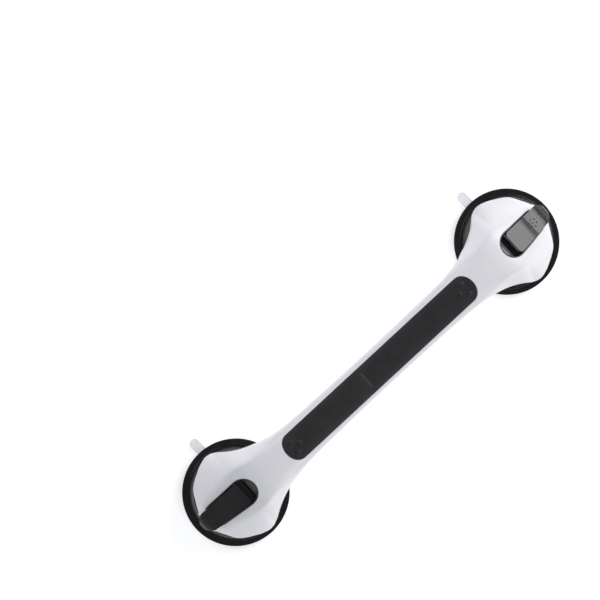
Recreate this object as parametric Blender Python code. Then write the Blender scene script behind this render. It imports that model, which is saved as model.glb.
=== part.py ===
"""Suction grab bar: a handle on two lever-locked suction cups, stuck to a wall at z = 0.

X runs along the bar, Y across it, Z out of the wall, and the origin is on the wall under the
middle of the bar. "s" is the distance from a cup's axis towards the middle of the bar, so the
two ends share one set of sizes: x = side * (CUP_X - s), with side -1 on the left, +1 on the right.
Everything is drawn at rest, with both levers pressed down and locked.
"""

import math

import bmesh
import bpy
import numpy as np
from mathutils import Matrix, Vector

MM = 0.001
GAP = 0.3 * MM                      # running and assembly clearance

# Overall layout
CUP_X = 167.5 * MM                  # cup axis to the middle of the bar
SIDES = {"left": -1, "right": 1}

# Handle shell: curves over s, each a short list of (s, value) in millimetres
HALF_WIDTH = [(-37.0, 10.5), (-34.0, 15.6), (-31.0, 20.9), (-28.0, 26.1), (-25.0, 30.2), (-20.0, 34.0),
              (-13.0, 38.0), (-6.0, 41.4), (2.0, 43.3), (6.0, 42.7), (11.0, 40.4), (20.0, 34.0), (29.0, 29.0),
              (38.0, 25.3), (50.0, 22.0), (60.0, 20.2), (75.0, 18.8), (100.0, 18.1), (167.5, 17.5)]
CREST_Z = [(-37.0, 30.5), (-30.0, 37.0), (-20.0, 45.8), (-10.0, 53.4), (0.0, 60.0), (10.0, 65.2),
           (20.0, 68.8), (32.0, 70.8), (45.0, 71.5), (60.0, 71.6), (167.5, 71.6)]
CREASE_Y = [(-37.0, 6.0), (-28.0, 13.5), (-10.0, 18.5), (10.0, 20.5), (35.0, 16.4), (60.0, 13.5), (167.5, 12.0)]
CREASE_DROP = [(-37.0, 1.8), (-20.0, 4.2), (0.0, 4.6), (15.0, 3.2), (40.0, 2.0), (167.5, 2.0)]
EDGE_Z = [(-37.0, 25.0), (8.0, 25.0), (10.0, 27.0), (14.0, 32.5), (18.0, 37.8), (24.0, 43.0), (32.0, 47.8),
          (42.0, 52.5), (54.0, 56.5), (66.0, 59.0), (78.0, 60.0), (167.5, 60.0)]
UNDERSIDE_Z = [(39.0, 1.5), (43.0, 4.5), (44.5, 9.0), (46.0, 15.0), (48.5, 22.5), (52.0, 29.8), (57.0, 36.0),
               (65.0, 40.5), (76.0, 42.0), (167.5, 42.0)]
TIP_S = -37.0 * MM                  # outer end of the shield-shaped cover
TIP_LEAN = 0.5 * MM                 # the tip's end wall leans out by this, and narrows to this share
TIP_NARROW = 0.9
SHELL_T = 2.7 * MM
BAR_ROUNDNESS = 0.80                # exponent of the bar's rounded section
SHIELD_TO_BAR = (20 * MM, 66 * MM)  # where the creased shield section turns into the bar's
SIDE_STEPS = 6                      # panels from the crest to the edge of the shell
SHIELD_STATIONS = [-37.0, -34.5, -31.5, -28.0, -24.5, -17.0, -9.0, -3.0, 3.0]
BAR_STATIONS = [9.5, 12.0, 15.0, 19.0, 25.0, 32.0, 40.0, 43.0, 45.0, 47.5, 51.5, 58.0, 68.0, 80.0,
                167.5]              # shared with the back cover

# Grip pad
GRIP_HALF_LENGTH = 111 * MM
GRIP_HALF_WIDTH = 12.9 * MM
GRIP_END = 10.8 * MM                # how far the rounded end reaches in
GRIP_PROUD = 0.4 * MM
GRIP_DEPTH = 1.4 * MM

# Back cover
BACK_T = 2.4 * MM
BACK_SCREW_X = (-95 * MM, -45 * MM, 45 * MM, 95 * MM)
BACK_SCREW_LENGTH = 14.5 * MM
BACK_SCREW_Z = 43.3 * MM            # underside of the screw's head
BACK_SEAT_Z = 45.4 * MM             # where the head bears
BACK_POST_R = 5.0 * MM
BACK_POST_Z = (43.2 * MM, 47.3 * MM)

# Base dish
DISH_R = 48.5 * MM
DISH_BOTTOM = 2.3 * MM
DISH_WALL = 2.5 * MM
RIM_TOP = 6.0 * MM
RIM_CHAMFER = 1.0 * MM
UNDERCUT = (41.0 * MM, 4.6 * MM)    # radius under the rim, and height of the wall's inner foot
DECK_TOP = 24.5 * MM
DECK_T = 2.5 * MM
WALL_FOOT = (42.8 * MM, 6.6 * MM)   # (radius, z) of the sloped wall, at its foot and its head
WALL_HEAD = (38.6 * MM, 23.7 * MM)
RIM_INNER_R = 43.6 * MM
DECK_R = 37.8 * MM
TOWER_R = 13 * MM
TOWER_BORE_R = 10.5 * MM
TOWER_TOP = 42.0 * MM
STEM_HOLE_R = 6.0 * MM
DISH_SCREW_AT = ((-16 * MM, 22 * MM), (18 * MM, 24 * MM))   # (s, y), and mirrored to -y
DISH_SCREW_LENGTH = 11.5 * MM

# Lever, its pin and its cam
PIN_Z = 54.5 * MM
PIN_R = 2.2 * MM
PIN_HOLE_R = 2.5 * MM
TRAVEL = 4.0 * MM                   # how far the lever lifts the stem
LEVER_TURN = math.radians(90)       # how far the lever flips up
CAM_LOCKED = 8.5 * MM               # pin axis to bearing plate with the lever down
CAM_SLOPE = TRAVEL / LEVER_TURN
LEVER_HALF_WIDTH = (11.1 * MM, 9.7 * MM)   # over the pin, and near the tip
LEVER_TIP_S = -42.9 * MM
LEVER_TIP_LENGTH = 9.5 * MM
LEVER_CORNER_R = 3.5 * MM
LEVER_INNER_S = 6.3 * MM            # inner edge of the lever's top panel
LEVER_WALL = 2.3 * MM
FORK_HALF_WIDTH = 4.3 * MM
LEVER_BEND_S = -29.2                # where the flat top turns down to the tip, in millimetres
POCKET = [(-12.5, 30.0), (-12.5, 49.8), (-28.0, 39.9), (-28.0, 30.0)]
HEEL = [(4.1, 55.4), (4.1, 59.9), (6.3, 60.9)]
PIN_HALF_LENGTH = 10.6 * MM

# Lever well
WELL_R = 12.7 * MM
WELL_CENTRE_S = 5.8 * MM            # centre of its round inner end
WELL_OUTER_S = -29.0 * MM
WELL_OUTER_HALF = 10.9 * MM
WELL_WALL = 0.6 * MM
WELL_FLOOR_T = 1.4 * MM
SLOT_LOW = 31 * MM                  # the shell's slot is cut down to here, above the tip's end wall
PLATE_TOP = PIN_Z - CAM_LOCKED
PLATE_T = 2.0 * MM
PLATE_S = (-9.0 * MM, 4.9 * MM)
PLATE_HALF = 11.0 * MM
PLATE_CUT = 1.5 * MM                # its cut corners
WELL_STEP_BACK = 1.6 * MM            # how far its outside stays behind the steep end of its floor
WELL_FLOOR = [(-29.0, 33.5), (-24.0, 37.0), (-17.0, 41.9), (-13.5, 43.7), (11.0, 43.7),
              (12.1, 44.6), (12.4, 52.0), (12.7, 60.2), (13.6, 62.2), (15.6, 64.2), (18.5, 66.6)]

# Suction cup, its core, stem and spring
CUP_R = 47.2 * MM
CONTACT_R = 36.0 * MM               # inner edge of the flat sealing ring
CUP_RIM_T = 2.0 * MM
DOME_Z = 6.0 * MM
CUP_TOP = 8.3 * MM
CORE_R = 15 * MM
CORE_Z = (8.6 * MM, 12.0 * MM)
STEM_R = 2.6 * MM
EYE_R = 3.7 * MM
EYE_HALF_WIDTH = 3.7 * MM
FLANGE_R = 6.8 * MM
FLANGE_T = 2.0 * MM
SPRING_R = 8.6 * MM
SPRING_WIRE_R = 0.8 * MM
SPRING_TURNS = 4
TAB_S = 2.2 * MM
TAB_HALF_WIDTH = 4.65 * MM
TAB_TIP_Y = 61.8 * MM
TAB_Z = (0.4 * MM, 1.7 * MM)

# Screws
SCREW_R = 1.45 * MM
SCREW_HEAD_R = 3.0 * MM
SCREW_HEAD_H = 1.9 * MM
SCREW_HOLE_R = 1.8 * MM
BOSS_R = 3.8 * MM
THROUGH = 5.0 * MM                  # how far a tool passes beyond what it cuts


# ---------------------------------------------------------------- scene and materials

def clear_scene():
    for obj in list(bpy.data.objects):
        bpy.data.objects.remove(obj, do_unlink=True)


def material(name, colour, roughness, metallic=0.0, alpha=1.0):
    mat = bpy.data.materials.new(name)
    mat.use_nodes = True
    shader = mat.node_tree.nodes["Principled BSDF"]
    shader.inputs["Base Color"].default_value = (*colour, 1.0)
    shader.inputs["Roughness"].default_value = roughness
    shader.inputs["Metallic"].default_value = metallic
    shader.inputs["Alpha"].default_value = alpha
    return mat


def make_materials():
    return {
        "white_shell": material("white_shell", (0.83, 0.83, 0.85), 0.30),
        "grip_rubber": material("grip_rubber", (0.025, 0.026, 0.027), 0.70),
        "black_base": material("black_base", (0.012, 0.012, 0.012), 0.45),
        "black_lever": material("black_lever", (0.010, 0.010, 0.011), 0.15),
        "clear_tpu": material("clear_tpu", (0.78, 0.80, 0.86), 0.25, alpha=0.6),
        "steel": material("steel", (0.55, 0.55, 0.56), 0.30, 1.0),
        "nylon": material("nylon", (0.70, 0.69, 0.64), 0.50),
    }


# ---------------------------------------------------------------- small geometry helpers

def smooth_curve(points):
    """A function through (s, value) points given in millimetres, smooth and without overshoot."""
    s = np.array([p[0] for p in points]) * MM
    v = np.array([p[1] for p in points]) * MM
    chord = np.diff(v) / np.diff(s)
    slope = np.zeros(len(s))
    for i in range(1, len(s) - 1):
        before, after = chord[i - 1], chord[i]
        if before * after > 0:
            slope[i] = 2 * before * after / (before + after)

    def value(at):
        at = float(np.clip(at, s[0], s[-1]))
        i = int(np.clip(np.searchsorted(s, at) - 1, 0, len(s) - 2))
        length = s[i + 1] - s[i]
        t = (at - s[i]) / length
        rise = v[i + 1] - v[i]
        a = slope[i] * length - rise
        b = rise - slope[i + 1] * length
        return float(v[i] + rise * t + t * (1 - t) * (a * (1 - t) + b * t))

    return value


half_width = smooth_curve(HALF_WIDTH)
crest_z = smooth_curve(CREST_Z)
crease_y = smooth_curve(CREASE_Y)
crease_drop = smooth_curve(CREASE_DROP)
edge_z = smooth_curve(EDGE_Z)
underside_z = smooth_curve(UNDERSIDE_Z)
well_floor = smooth_curve(WELL_FLOOR)


def lean_of(curve, s):
    """Angle of a curve to the wall at s."""
    step = 0.5 * MM
    return math.atan((curve(s + step) - curve(s - step)) / (2 * step))


def smoothstep(low, high, value):
    t = min(max((value - low) / (high - low), 0.0), 1.0)
    return t * t * (3 - 2 * t)


def new_object(name, verts, faces, mat=None):
    """A closed mesh object with its faces out, split into triangles, which are always flat."""
    mesh = bpy.data.meshes.new(name)
    bm = bmesh.new()
    made = [bm.verts.new(v) for v in verts]
    for face in faces:
        bm.faces.new([made[i] for i in face])
    bmesh.ops.recalc_face_normals(bm, faces=bm.faces)
    if bm.calc_volume(signed=True) < 0:
        bmesh.ops.reverse_faces(bm, faces=bm.faces)
    bmesh.ops.triangulate(bm, faces=bm.faces)
    bm.to_mesh(mesh)
    bm.free()
    obj = bpy.data.objects.new(name, mesh)
    bpy.context.scene.collection.objects.link(obj)
    if mat:
        mesh.materials.append(mat)
    mesh.shade_smooth()
    mesh.set_sharp_from_angle(angle=math.radians(35))
    return obj


def loft(name, rings, mat=None):
    """A closed body through rings of equal length, with its first and last ring capped."""
    n = len(rings[0])
    verts = [p for ring in rings for p in ring]
    faces = [[(r + 1) * n + i, (r + 1) * n + (i + 1) % n, r * n + (i + 1) % n, r * n + i]
             for r in range(len(rings) - 1) for i in range(n)]
    faces.append(list(range(n)))
    faces.append([(len(rings) - 1) * n + i for i in reversed(range(n))])
    return new_object(name, verts, faces, mat)


def hollow_sheet(name, outer, inner, mat=None):
    """A closed wall between two grids of points with the same rows and columns."""
    rows, cols = len(outer), len(outer[0])
    verts = [p for row in outer for p in row] + [p for row in inner for p in row]
    skip = rows * cols

    def at(layer, r, c):
        return layer * skip + r * cols + c

    faces = []
    for layer in (0, 1):
        faces += [[at(layer, r, c), at(layer, r + 1, c), at(layer, r + 1, c + 1), at(layer, r, c + 1)]
                  for r in range(rows - 1) for c in range(cols - 1)]
    border = [(r, 0) for r in range(rows)] + [(rows - 1, c) for c in range(1, cols)]
    border += [(r, cols - 1) for r in range(rows - 2, -1, -1)] + [(0, c) for c in range(cols - 2, 0, -1)]
    for (r0, c0), (r1, c1) in zip(border, border[1:] + border[:1]):
        faces.append([at(0, r0, c0), at(0, r1, c1), at(1, r1, c1), at(1, r0, c0)])
    return new_object(name, verts, faces, mat)


def turned_faces(profile, at, segments, closed, first):
    """Points and faces of a profile of (radius, z) turned about a vertical axis through at."""
    x, y = at
    verts, rings = [], []
    for r, z in profile:
        start = first + len(verts)
        if r < 1e-7:
            rings.append([start] * segments)
            verts.append((x, y, z))
            continue
        rings.append(list(range(start, start + segments)))
        turn = [2 * math.pi * (i + 0.5) / segments for i in range(segments)]
        verts += [(x + r * math.cos(a), y + r * math.sin(a), z) for a in turn]
    pairs = list(zip(rings, rings[1:]))
    if closed:
        pairs.append((rings[-1], rings[0]))
    faces = []
    for lower, upper in pairs:
        for i in range(segments):
            j = (i + 1) % segments
            faces.append(list(dict.fromkeys([lower[i], lower[j], upper[j], upper[i]])))
    return verts, faces


def turned(name, profile, at, mat=None, segments=48, closed=False):
    """One turned body; an open profile starts and ends on the axis."""
    verts, faces = turned_faces(profile, at, segments, closed, 0)
    return new_object(name, verts, faces, mat)


def turned_group(name, profiles, segments):
    """A tool made of several turned bodies, from (profile, at) pairs."""
    verts, faces = [], []
    for profile, at in profiles:
        more_verts, more_faces = turned_faces(profile, at, segments, False, len(verts))
        verts += more_verts
        faces += more_faces
    return new_object(name, verts, faces)


def post(radius, low, high):
    """Profile of a plain round post."""
    return [(0, low), (radius, low), (radius, high), (0, high)]


def prism(name, outline, z_low, z_high, mat=None):
    return loft(name, [[(x, y, z) for x, y in outline] for z in (z_low, z_high)], mat)


def side_prism(name, outline, side, half, mat=None):
    """An outline of (s, z) carried across the bar from -half to +half."""
    rings = [[(side * (CUP_X - s), y, z) for s, z in outline] for y in (-half, half)]
    return loft(name, rings, mat)


def cross_cylinder(name, side, s, z, radius, half, mat=None, segments=16):
    turn = [2 * math.pi * i / segments for i in range(segments)]
    circle = [(s + radius * math.cos(a), z + radius * math.sin(a)) for a in turn]
    return side_prism(name, circle, side, half, mat)


def helper(obj):
    """Mark an object as a tool for a Boolean, not a piece."""
    obj.hide_render = True
    obj.display_type = "WIRE"
    return obj


def combine(target, tool, operation):
    mod = target.modifiers.new(operation.lower(), "BOOLEAN")
    mod.operation = operation
    mod.solver = "EXACT"
    mod.object = helper(tool)
    return target


def put_origin(obj, point):
    obj.data.transform(Matrix.Translation(-Vector(point)))
    obj.location = point


# ---------------------------------------------------------------- the shell's surface

def shell_side(s, inset):
    """(y, z) points of the shell's section from its crest to its edge, moved in by inset."""
    w = half_width(s) - inset
    top = crest_z(s) - inset
    low = edge_z(s)
    fold_y = min(crease_y(s), 0.8 * w)
    fold_z = top - crease_drop(s)
    bar = smoothstep(*SHIELD_TO_BAR, s)
    points = []
    for i in range(SIDE_STEPS + 1):
        u = i / SIDE_STEPS
        if u <= 0.5:
            t = 2 * u
            y, z = fold_y * t, top + (fold_z - top) * t * t
        else:
            t = 2 * u - 1
            y = fold_y + (w - fold_y) * t
            z = fold_z + (low - fold_z) * t ** 1.15
        a = u * math.pi / 2
        bar_y = w * math.sin(a) ** BAR_ROUNDNESS
        bar_z = low + (top - low) * max(math.cos(a), 0.0) ** BAR_ROUNDNESS
        points.append((y + (bar_y - y) * bar, z + (bar_z - z) * bar))
    return points


def shell_height(s, y):
    """Height of the shell's outside over the point (s, y)."""
    side = shell_side(s, 0.0)
    return float(np.interp(abs(y), [p[0] for p in side], [p[1] for p in side]))


def across(x, side_points):
    """A whole section at x from the points of its +y side."""
    left = [(x, -y, z) for y, z in reversed(side_points[1:])]
    return left + [(x, y, z) for y, z in side_points]


def both_ends(stations):
    """x and s of every section, from the left end to the right one."""
    left = [(s * MM - CUP_X, s * MM) for s in stations]
    right = [(-x, s) for x, s in reversed(left) if x < -1e-9]
    return left + right


# ---------------------------------------------------------------- handle

def make_handle_shell(mats):
    outer, inner = [], []
    for x, s in both_ends(SHIELD_STATIONS + BAR_STATIONS):
        outer.append(across(x, shell_side(s, 0.0)))
        inner_s = max(s, TIP_S + SHELL_T)
        inner_x = math.copysign(CUP_X - inner_s, x)
        inner.append(across(inner_x if s < inner_s else x, shell_side(inner_s, SHELL_T)))
    close_tips(outer, inner)
    shell = hollow_sheet("handle_shell", outer, inner, mats["white_shell"])
    posts, bores = [], []
    for name, side in SIDES.items():
        slot = [(side * (CUP_X - s), y) for s, y in well_outline(GAP)]
        combine(shell, prism(name + "_slot_tool", slot, SLOT_LOW, crest_z(CUP_X) + THROUGH), "DIFFERENCE")
        for s, y in dish_screw_places():
            spot = (side * (CUP_X - s), y)
            top = boss_top(s, y)
            tip = dish_screw_z() + DISH_SCREW_LENGTH
            posts.append((post(BOSS_R, DECK_TOP + GAP, top), spot))
            bores.append((post(SCREW_HOLE_R, DECK_TOP - THROUGH, tip + GAP), spot))
    top = crest_z(CUP_X) - GRIP_DEPTH - 3 * GAP
    tip = BACK_SCREW_Z + BACK_SCREW_LENGTH
    posts += [(post(BOSS_R, BACK_POST_Z[1] + GAP, top), (x, 0.0)) for x in BACK_SCREW_X]
    bores += [(post(SCREW_HOLE_R, BACK_POST_Z[0], tip + GAP), (x, 0.0)) for x in BACK_SCREW_X]
    combine(shell, grip_slab("pocket_tool", GAP, GRIP_DEPTH + 1.2 * GAP, 3 * MM), "DIFFERENCE")
    combine(shell, turned_group("boss_tool", posts, 8), "UNION")
    combine(shell, turned_group("bore_tool", bores, 8), "DIFFERENCE")
    return shell


def boss_top(s, y):
    """Where a boss under the point (s, y) ends, inside the shell's wall all the way round."""
    turn = [math.radians(a) for a in range(0, 360, 45)]
    return min(shell_height(s + BOSS_R * math.cos(a), y + BOSS_R * math.sin(a)) for a in turn) - SHELL_T / 3


def close_tips(outer, inner):
    """Turn the tips down into end walls by adding a row along the lower edge at each end."""
    low = edge_z(TIP_S)
    for rows, share in ((outer, 1.0), (inner, 0.35)):
        lean = share * TIP_LEAN
        narrow = 1 - share * (1 - TIP_NARROW)
        rows.insert(0, [(x - lean, narrow * y, low) for x, y, z in rows[0]])
        rows.append([(x + lean, narrow * y, low) for x, y, z in rows[-1]])


def grip_outline_half(x, grow):
    """Half width of the grip pad at x, with its rounded ends."""
    end = GRIP_HALF_LENGTH + grow
    reach = GRIP_END + grow
    past = abs(x) - (end - reach)
    if past <= 0:
        return GRIP_HALF_WIDTH + grow
    return (GRIP_HALF_WIDTH + grow) * math.sqrt(max(0.0, 1 - (past / reach) ** 2.2))


def grip_slab(name, grow, depth, proud, mat=None):
    """The pad's body, or with grow its pocket: a slab that follows the top of the bar."""
    end = GRIP_HALF_LENGTH + grow
    reach = GRIP_END + grow
    straight = [-(end - reach) + (end - reach) * i / 4 for i in range(5)]
    ends = [-end + reach * (1 - math.sin(math.radians(a))) for a in (82, 62, 42, 21)]
    left = [x for x in ends + straight if x < -1e-9]
    xs = left + [0.0] + [-x for x in reversed(left)]
    rings = []
    for x in xs:
        half = grip_outline_half(x, grow)
        ys = [half * (i / 3 - 1) for i in range(7)]
        top = [(x, y, shell_height(CUP_X - abs(x), y) + proud) for y in ys]
        bottom = [(x, y, shell_height(CUP_X - abs(x), y) - depth) for y in reversed(ys)]
        rings.append(top + bottom)
    return loft(name, rings, mat)


def make_handle_back(mats):
    outer, inner = [], []
    for x, s in both_ends(BAR_STATIONS):
        for rows, inset in ((outer, 0.0), (inner, BACK_T)):
            rows.append(across(x, back_side(s, inset)))
    cover = hollow_sheet("handle_back", outer, inner, mats["white_shell"])
    for name, side in SIDES.items():
        combine(cover, dish_clearance(name + "_dish_tool", side), "DIFFERENCE")
    head_r = SCREW_HEAD_R + 2 * GAP
    low = BACK_POST_Z[0] - THROUGH
    high = BACK_POST_Z[1] + THROUGH
    bore = [(0, low), (head_r, low), (head_r, BACK_SEAT_Z), (SCREW_HOLE_R, BACK_SEAT_Z),
            (SCREW_HOLE_R, high), (0, high)]
    posts = [(post(BACK_POST_R, *BACK_POST_Z), (x, 0.0)) for x in BACK_SCREW_X]
    combine(cover, turned_group("cover_post_tool", posts, 12), "UNION")
    combine(cover, turned_group("cover_bore_tool", [(bore, (x, 0.0)) for x in BACK_SCREW_X], 12), "DIFFERENCE")
    return cover


def back_side(s, inset):
    """(y, z) points of the back cover's section from its lowest line to its upper edge."""
    w = half_width(s) - inset
    top = edge_z(s) - GAP / math.cos(lean_of(edge_z, s))
    lean = lean_of(underside_z, s)
    low = underside_z(s + inset * math.sin(lean)) + inset * math.cos(lean)
    steps = 5
    points = []
    for i in range(steps + 1):
        a = i / steps * math.pi / 2
        y = w * math.sin(a) ** BAR_ROUNDNESS
        points.append((y, top - (top - low) * max(math.cos(a), 0.0) ** BAR_ROUNDNESS))
    return points


def dish_clearance(name, side):
    """The outside of a base dish, grown by the assembly gap."""
    low = -THROUGH
    foot_r, foot_z = WALL_FOOT
    head_r, head_z = WALL_HEAD
    profile = [(0, low), (DISH_R + GAP, low), (DISH_R + GAP, RIM_TOP + GAP), (RIM_INNER_R + GAP, RIM_TOP + GAP),
               (foot_r + GAP, foot_z + GAP), (head_r + GAP, head_z + GAP), (DECK_R + GAP, DECK_TOP + GAP),
               (0, DECK_TOP + GAP)]
    return turned(name, profile, (side * CUP_X, 0.0), segments=36)


def make_screw(name, spot, head_z, length, mats):
    """A screw put in from below: a domed head on a plain shank that points up."""
    bearing = head_z + SCREW_HEAD_H
    profile = [(0, head_z), (0.6 * SCREW_HEAD_R, head_z), (SCREW_HEAD_R, head_z + 0.4 * SCREW_HEAD_H),
               (SCREW_HEAD_R, bearing), (SCREW_R, bearing), (SCREW_R, head_z + length), (0, head_z + length)]
    screw = turned(name, profile, (0.0, 0.0), mats["steel"], segments=8)
    screw.location = (*spot, 0.0)
    return screw


def dish_screw_z():
    """Underside of a dish screw's head, which bears on the deck from below."""
    return DECK_TOP - DECK_T - GAP - SCREW_HEAD_H


def dish_screw_places():
    return [(s, sign * y) for s, y in DISH_SCREW_AT for sign in (-1, 1)]


# ---------------------------------------------------------------- one end: fixed pieces

def make_base_dish(name, side, mats):
    foot_r, foot_z = WALL_FOOT
    head_r, head_z = WALL_HEAD
    under_r, inner_foot = UNDERCUT
    profile = [(DISH_R, DISH_BOTTOM), (DISH_R, RIM_TOP - RIM_CHAMFER), (DISH_R - RIM_CHAMFER, RIM_TOP),
               (RIM_INNER_R, RIM_TOP),
               (foot_r, foot_z), (head_r, head_z), (DECK_R, DECK_TOP),
               (TOWER_R, DECK_TOP), (TOWER_R, TOWER_TOP), (STEM_HOLE_R, TOWER_TOP),
               (STEM_HOLE_R, TOWER_TOP - DECK_T), (TOWER_BORE_R, TOWER_TOP - DECK_T),
               (TOWER_BORE_R, DECK_TOP - DECK_T), (head_r - DISH_WALL, DECK_TOP - DECK_T),
               (foot_r - DISH_WALL, inner_foot), (under_r, DISH_BOTTOM)]
    dish = turned(name + "_base_dish", profile, (side * CUP_X, 0.0), mats["black_base"], 36, closed=True)
    hole = post(SCREW_HOLE_R, DECK_TOP - DECK_T - THROUGH, DECK_TOP + THROUGH)
    holes = [(hole, (side * (CUP_X - s), y)) for s, y in dish_screw_places()]
    return combine(dish, turned_group(name + "_dish_hole_tool", holes, 8), "DIFFERENCE")


def well_outline(grow):
    """Plan of the lever well as (s, y): straight sides and a round inner end."""
    radius = WELL_R + grow
    turn = np.radians(np.linspace(0, 180, 13))
    arc = [(WELL_CENTRE_S + radius * math.sin(a), radius * math.cos(a)) for a in turn]
    end = (WELL_OUTER_S - grow, WELL_OUTER_HALF + grow)
    return [end] + arc + [(end[0], -end[1])]


def make_lever_well(name, side, mats):
    straight = [row[0] for row in WELL_FLOOR[:4]] + [0.0]
    inner_r = WELL_R - WELL_WALL
    rows = []
    for s in straight:
        t = (s * MM - WELL_CENTRE_S) / (WELL_OUTER_S - WELL_CENTRE_S)
        half = WELL_R + (WELL_OUTER_HALF - WELL_R) * t
        rows.append((s * MM, half, half - WELL_WALL))
    for a in (0, 24, 30, 33, 45, 60, 72, 83):
        reach = WELL_R * math.sin(math.radians(a))
        inside = math.sqrt(max(inner_r ** 2 - reach ** 2, (0.8 * MM) ** 2))
        half = WELL_R * math.cos(math.radians(a))
        rows.append((WELL_CENTRE_S + reach, half, min(inside, half - 0.3 * MM)))
    rings = []
    under_plate = PLATE_TOP - PLATE_T - GAP - WELL_FLOOR_T
    for s, half, inside in rows:
        rim = shell_height(s, half)
        lip = shell_height(s, inside)
        floor = min(well_floor(s), lip - 0.3 * MM)
        behind = well_floor(s - WELL_STEP_BACK) if s > WELL_CENTRE_S else floor
        low = min(floor, behind) - WELL_FLOOR_T
        x = side * (CUP_X - s)
        left = [(x, -half, rim), (x, -half, low), (x, half, low), (x, half, rim)]
        rings.append(left + [(x, inside, lip), (x, inside, floor), (x, -inside, floor), (x, -inside, lip)])
    well = loft(name + "_lever_well", rings, mats["black_base"])
    profile = post(STEM_HOLE_R, under_plate - THROUGH, PLATE_TOP)
    hole = turned(name + "_well_hole_tool", profile, (side * CUP_X, 0.0), segments=16)
    return combine(well, hole, "DIFFERENCE")


def make_bearing_plate(name, side, mats):
    s_low, s_high = PLATE_S
    half, cut = PLATE_HALF, PLATE_CUT
    outline = [(s_low + cut, -half), (s_high - cut, -half), (s_high, cut - half), (s_high, half - cut),
               (s_high - cut, half), (s_low + cut, half), (s_low, half - cut), (s_low, cut - half)]
    plan = [(side * (CUP_X - s), y) for s, y in outline]
    plate = prism(name + "_bearing_plate", plan, PLATE_TOP - PLATE_T, PLATE_TOP, mats["steel"])
    profile = post(STEM_R + 3 * GAP, PLATE_TOP - PLATE_T - THROUGH, PLATE_TOP + THROUGH)
    hole = turned(name + "_plate_hole_tool", profile, (side * CUP_X, 0.0), segments=16)
    return combine(plate, hole, "DIFFERENCE")


# ---------------------------------------------------------------- one end: moving pieces

def cam_outline():
    """(s, z) points of the cam: an involute, so the stem rises in step with the lever's turn."""
    points = []
    steps = 10
    for i in range(steps + 1):
        turn = LEVER_TURN * i / steps
        reach = CAM_LOCKED - GAP - CAM_SLOPE * turn
        s = reach * math.sin(turn) - CAM_SLOPE * math.cos(turn)
        z = -reach * math.cos(turn) - CAM_SLOPE * math.sin(turn)
        points.append((s, PIN_Z + z))
    return points


def lever_outline():
    """Side view of the lever as (s, z): top panel, bent tip, underside, cam and heel."""
    inner, tip = LEVER_INNER_S / MM, LEVER_TIP_S / MM
    top = [(inner, 64.5), (LEVER_BEND_S, 41.8), (-34.5, 38.0), (-39.0, 34.0), (tip + 0.3, 30.0),
           (tip + 0.6, 28.2)]
    under = [(-40.2, 29.6), (-33.5, 35.4), (-29.0, 38.3), (-24.0, 40.3), (-15.0, 45.3), (-8.5, 47.4)]
    mm = [(s * MM, z * MM) for s, z in top + under]
    return mm + cam_outline() + [(s * MM, z * MM) for s, z in HEEL]


def lever_half(s):
    """Half width of the lever in plan, tapering to a rounded tip."""
    over_pin, near_tip = LEVER_HALF_WIDTH
    round_s = LEVER_TIP_S + LEVER_TIP_LENGTH
    half = float(np.interp(s, [round_s, 0.0], [near_tip, over_pin]))
    into_corner = max(0.0, s - LEVER_INNER_S + LEVER_CORNER_R)
    if into_corner > 0:
        return half - LEVER_CORNER_R + math.sqrt(max(0.0, LEVER_CORNER_R ** 2 - into_corner ** 2))
    past = max(0.0, (round_s - s) / LEVER_TIP_LENGTH)
    return half * math.sqrt(max(0.0, 1 - past * past))


def lever_plan(side, inset):
    """Plan outline of the lever, moved in by inset."""
    round_s = LEVER_TIP_S + LEVER_TIP_LENGTH
    corner_s = LEVER_INNER_S - LEVER_CORNER_R
    s_values = [corner_s + LEVER_CORNER_R * math.cos(math.radians(a)) for a in (0, 30, 60, 90)]
    s_values += [round_s - LEVER_TIP_LENGTH * math.sin(math.radians(a)) for a in (0, 22, 45, 67, 90)]
    half = [(s + inset * (s < round_s), lever_half(s) - inset) for s in s_values]
    upper = [(s, h) for s, h in half if h > 0.5 * MM]
    lower = [(s, -h) for s, h in reversed(upper)]
    return [(side * (CUP_X - s), y) for s, y in upper + lower]


def make_lever(name, side, mats):
    wide = LEVER_HALF_WIDTH[0] + THROUGH
    low = CAM_LOCKED * 2
    high = PIN_Z + 2 * CAM_LOCKED
    lever = side_prism(name + "_lever", lever_outline(), side, wide, mats["black_lever"])
    plan = prism(name + "_lever_plan_tool", lever_plan(side, 0.0), low, high)
    combine(lever, plan, "INTERSECT")
    pin = PIN_Z / MM
    fork = [(-4.3, 30.0), (9.0, 30.0), (9.0, pin + 3.2), (2.9, pin + 3.2), (1.6, pin + 3.8), (0.0, pin + 4.1),
            (-1.8, pin + 3.7), (-3.4, pin + 2.5), (-4.3, pin + 0.6)]
    fork_tool = side_prism(name + "_fork_tool", [(s * MM, z * MM) for s, z in fork], side, FORK_HALF_WIDTH)
    combine(lever, fork_tool, "DIFFERENCE")
    tool = side_prism(name + "_pocket_tool", [(s * MM, z * MM) for s, z in POCKET], side, wide)
    inside = prism(name + "_pocket_plan_tool", lever_plan(side, LEVER_WALL), low, high)
    combine(tool, inside, "INTERSECT")
    combine(lever, tool, "DIFFERENCE")
    bore = cross_cylinder(name + "_pin_bore_tool", side, 0.0, PIN_Z, PIN_HOLE_R, wide)
    combine(lever, bore, "DIFFERENCE")
    put_origin(lever, (side * CUP_X, 0.0, PIN_Z))
    return lever


def make_lever_pin(name, side, mats):
    pin = cross_cylinder(name + "_lever_pin", side, 0.0, PIN_Z, PIN_R, PIN_HALF_LENGTH, mats["steel"])
    put_origin(pin, (side * CUP_X, 0.0, PIN_Z))
    return pin


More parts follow.
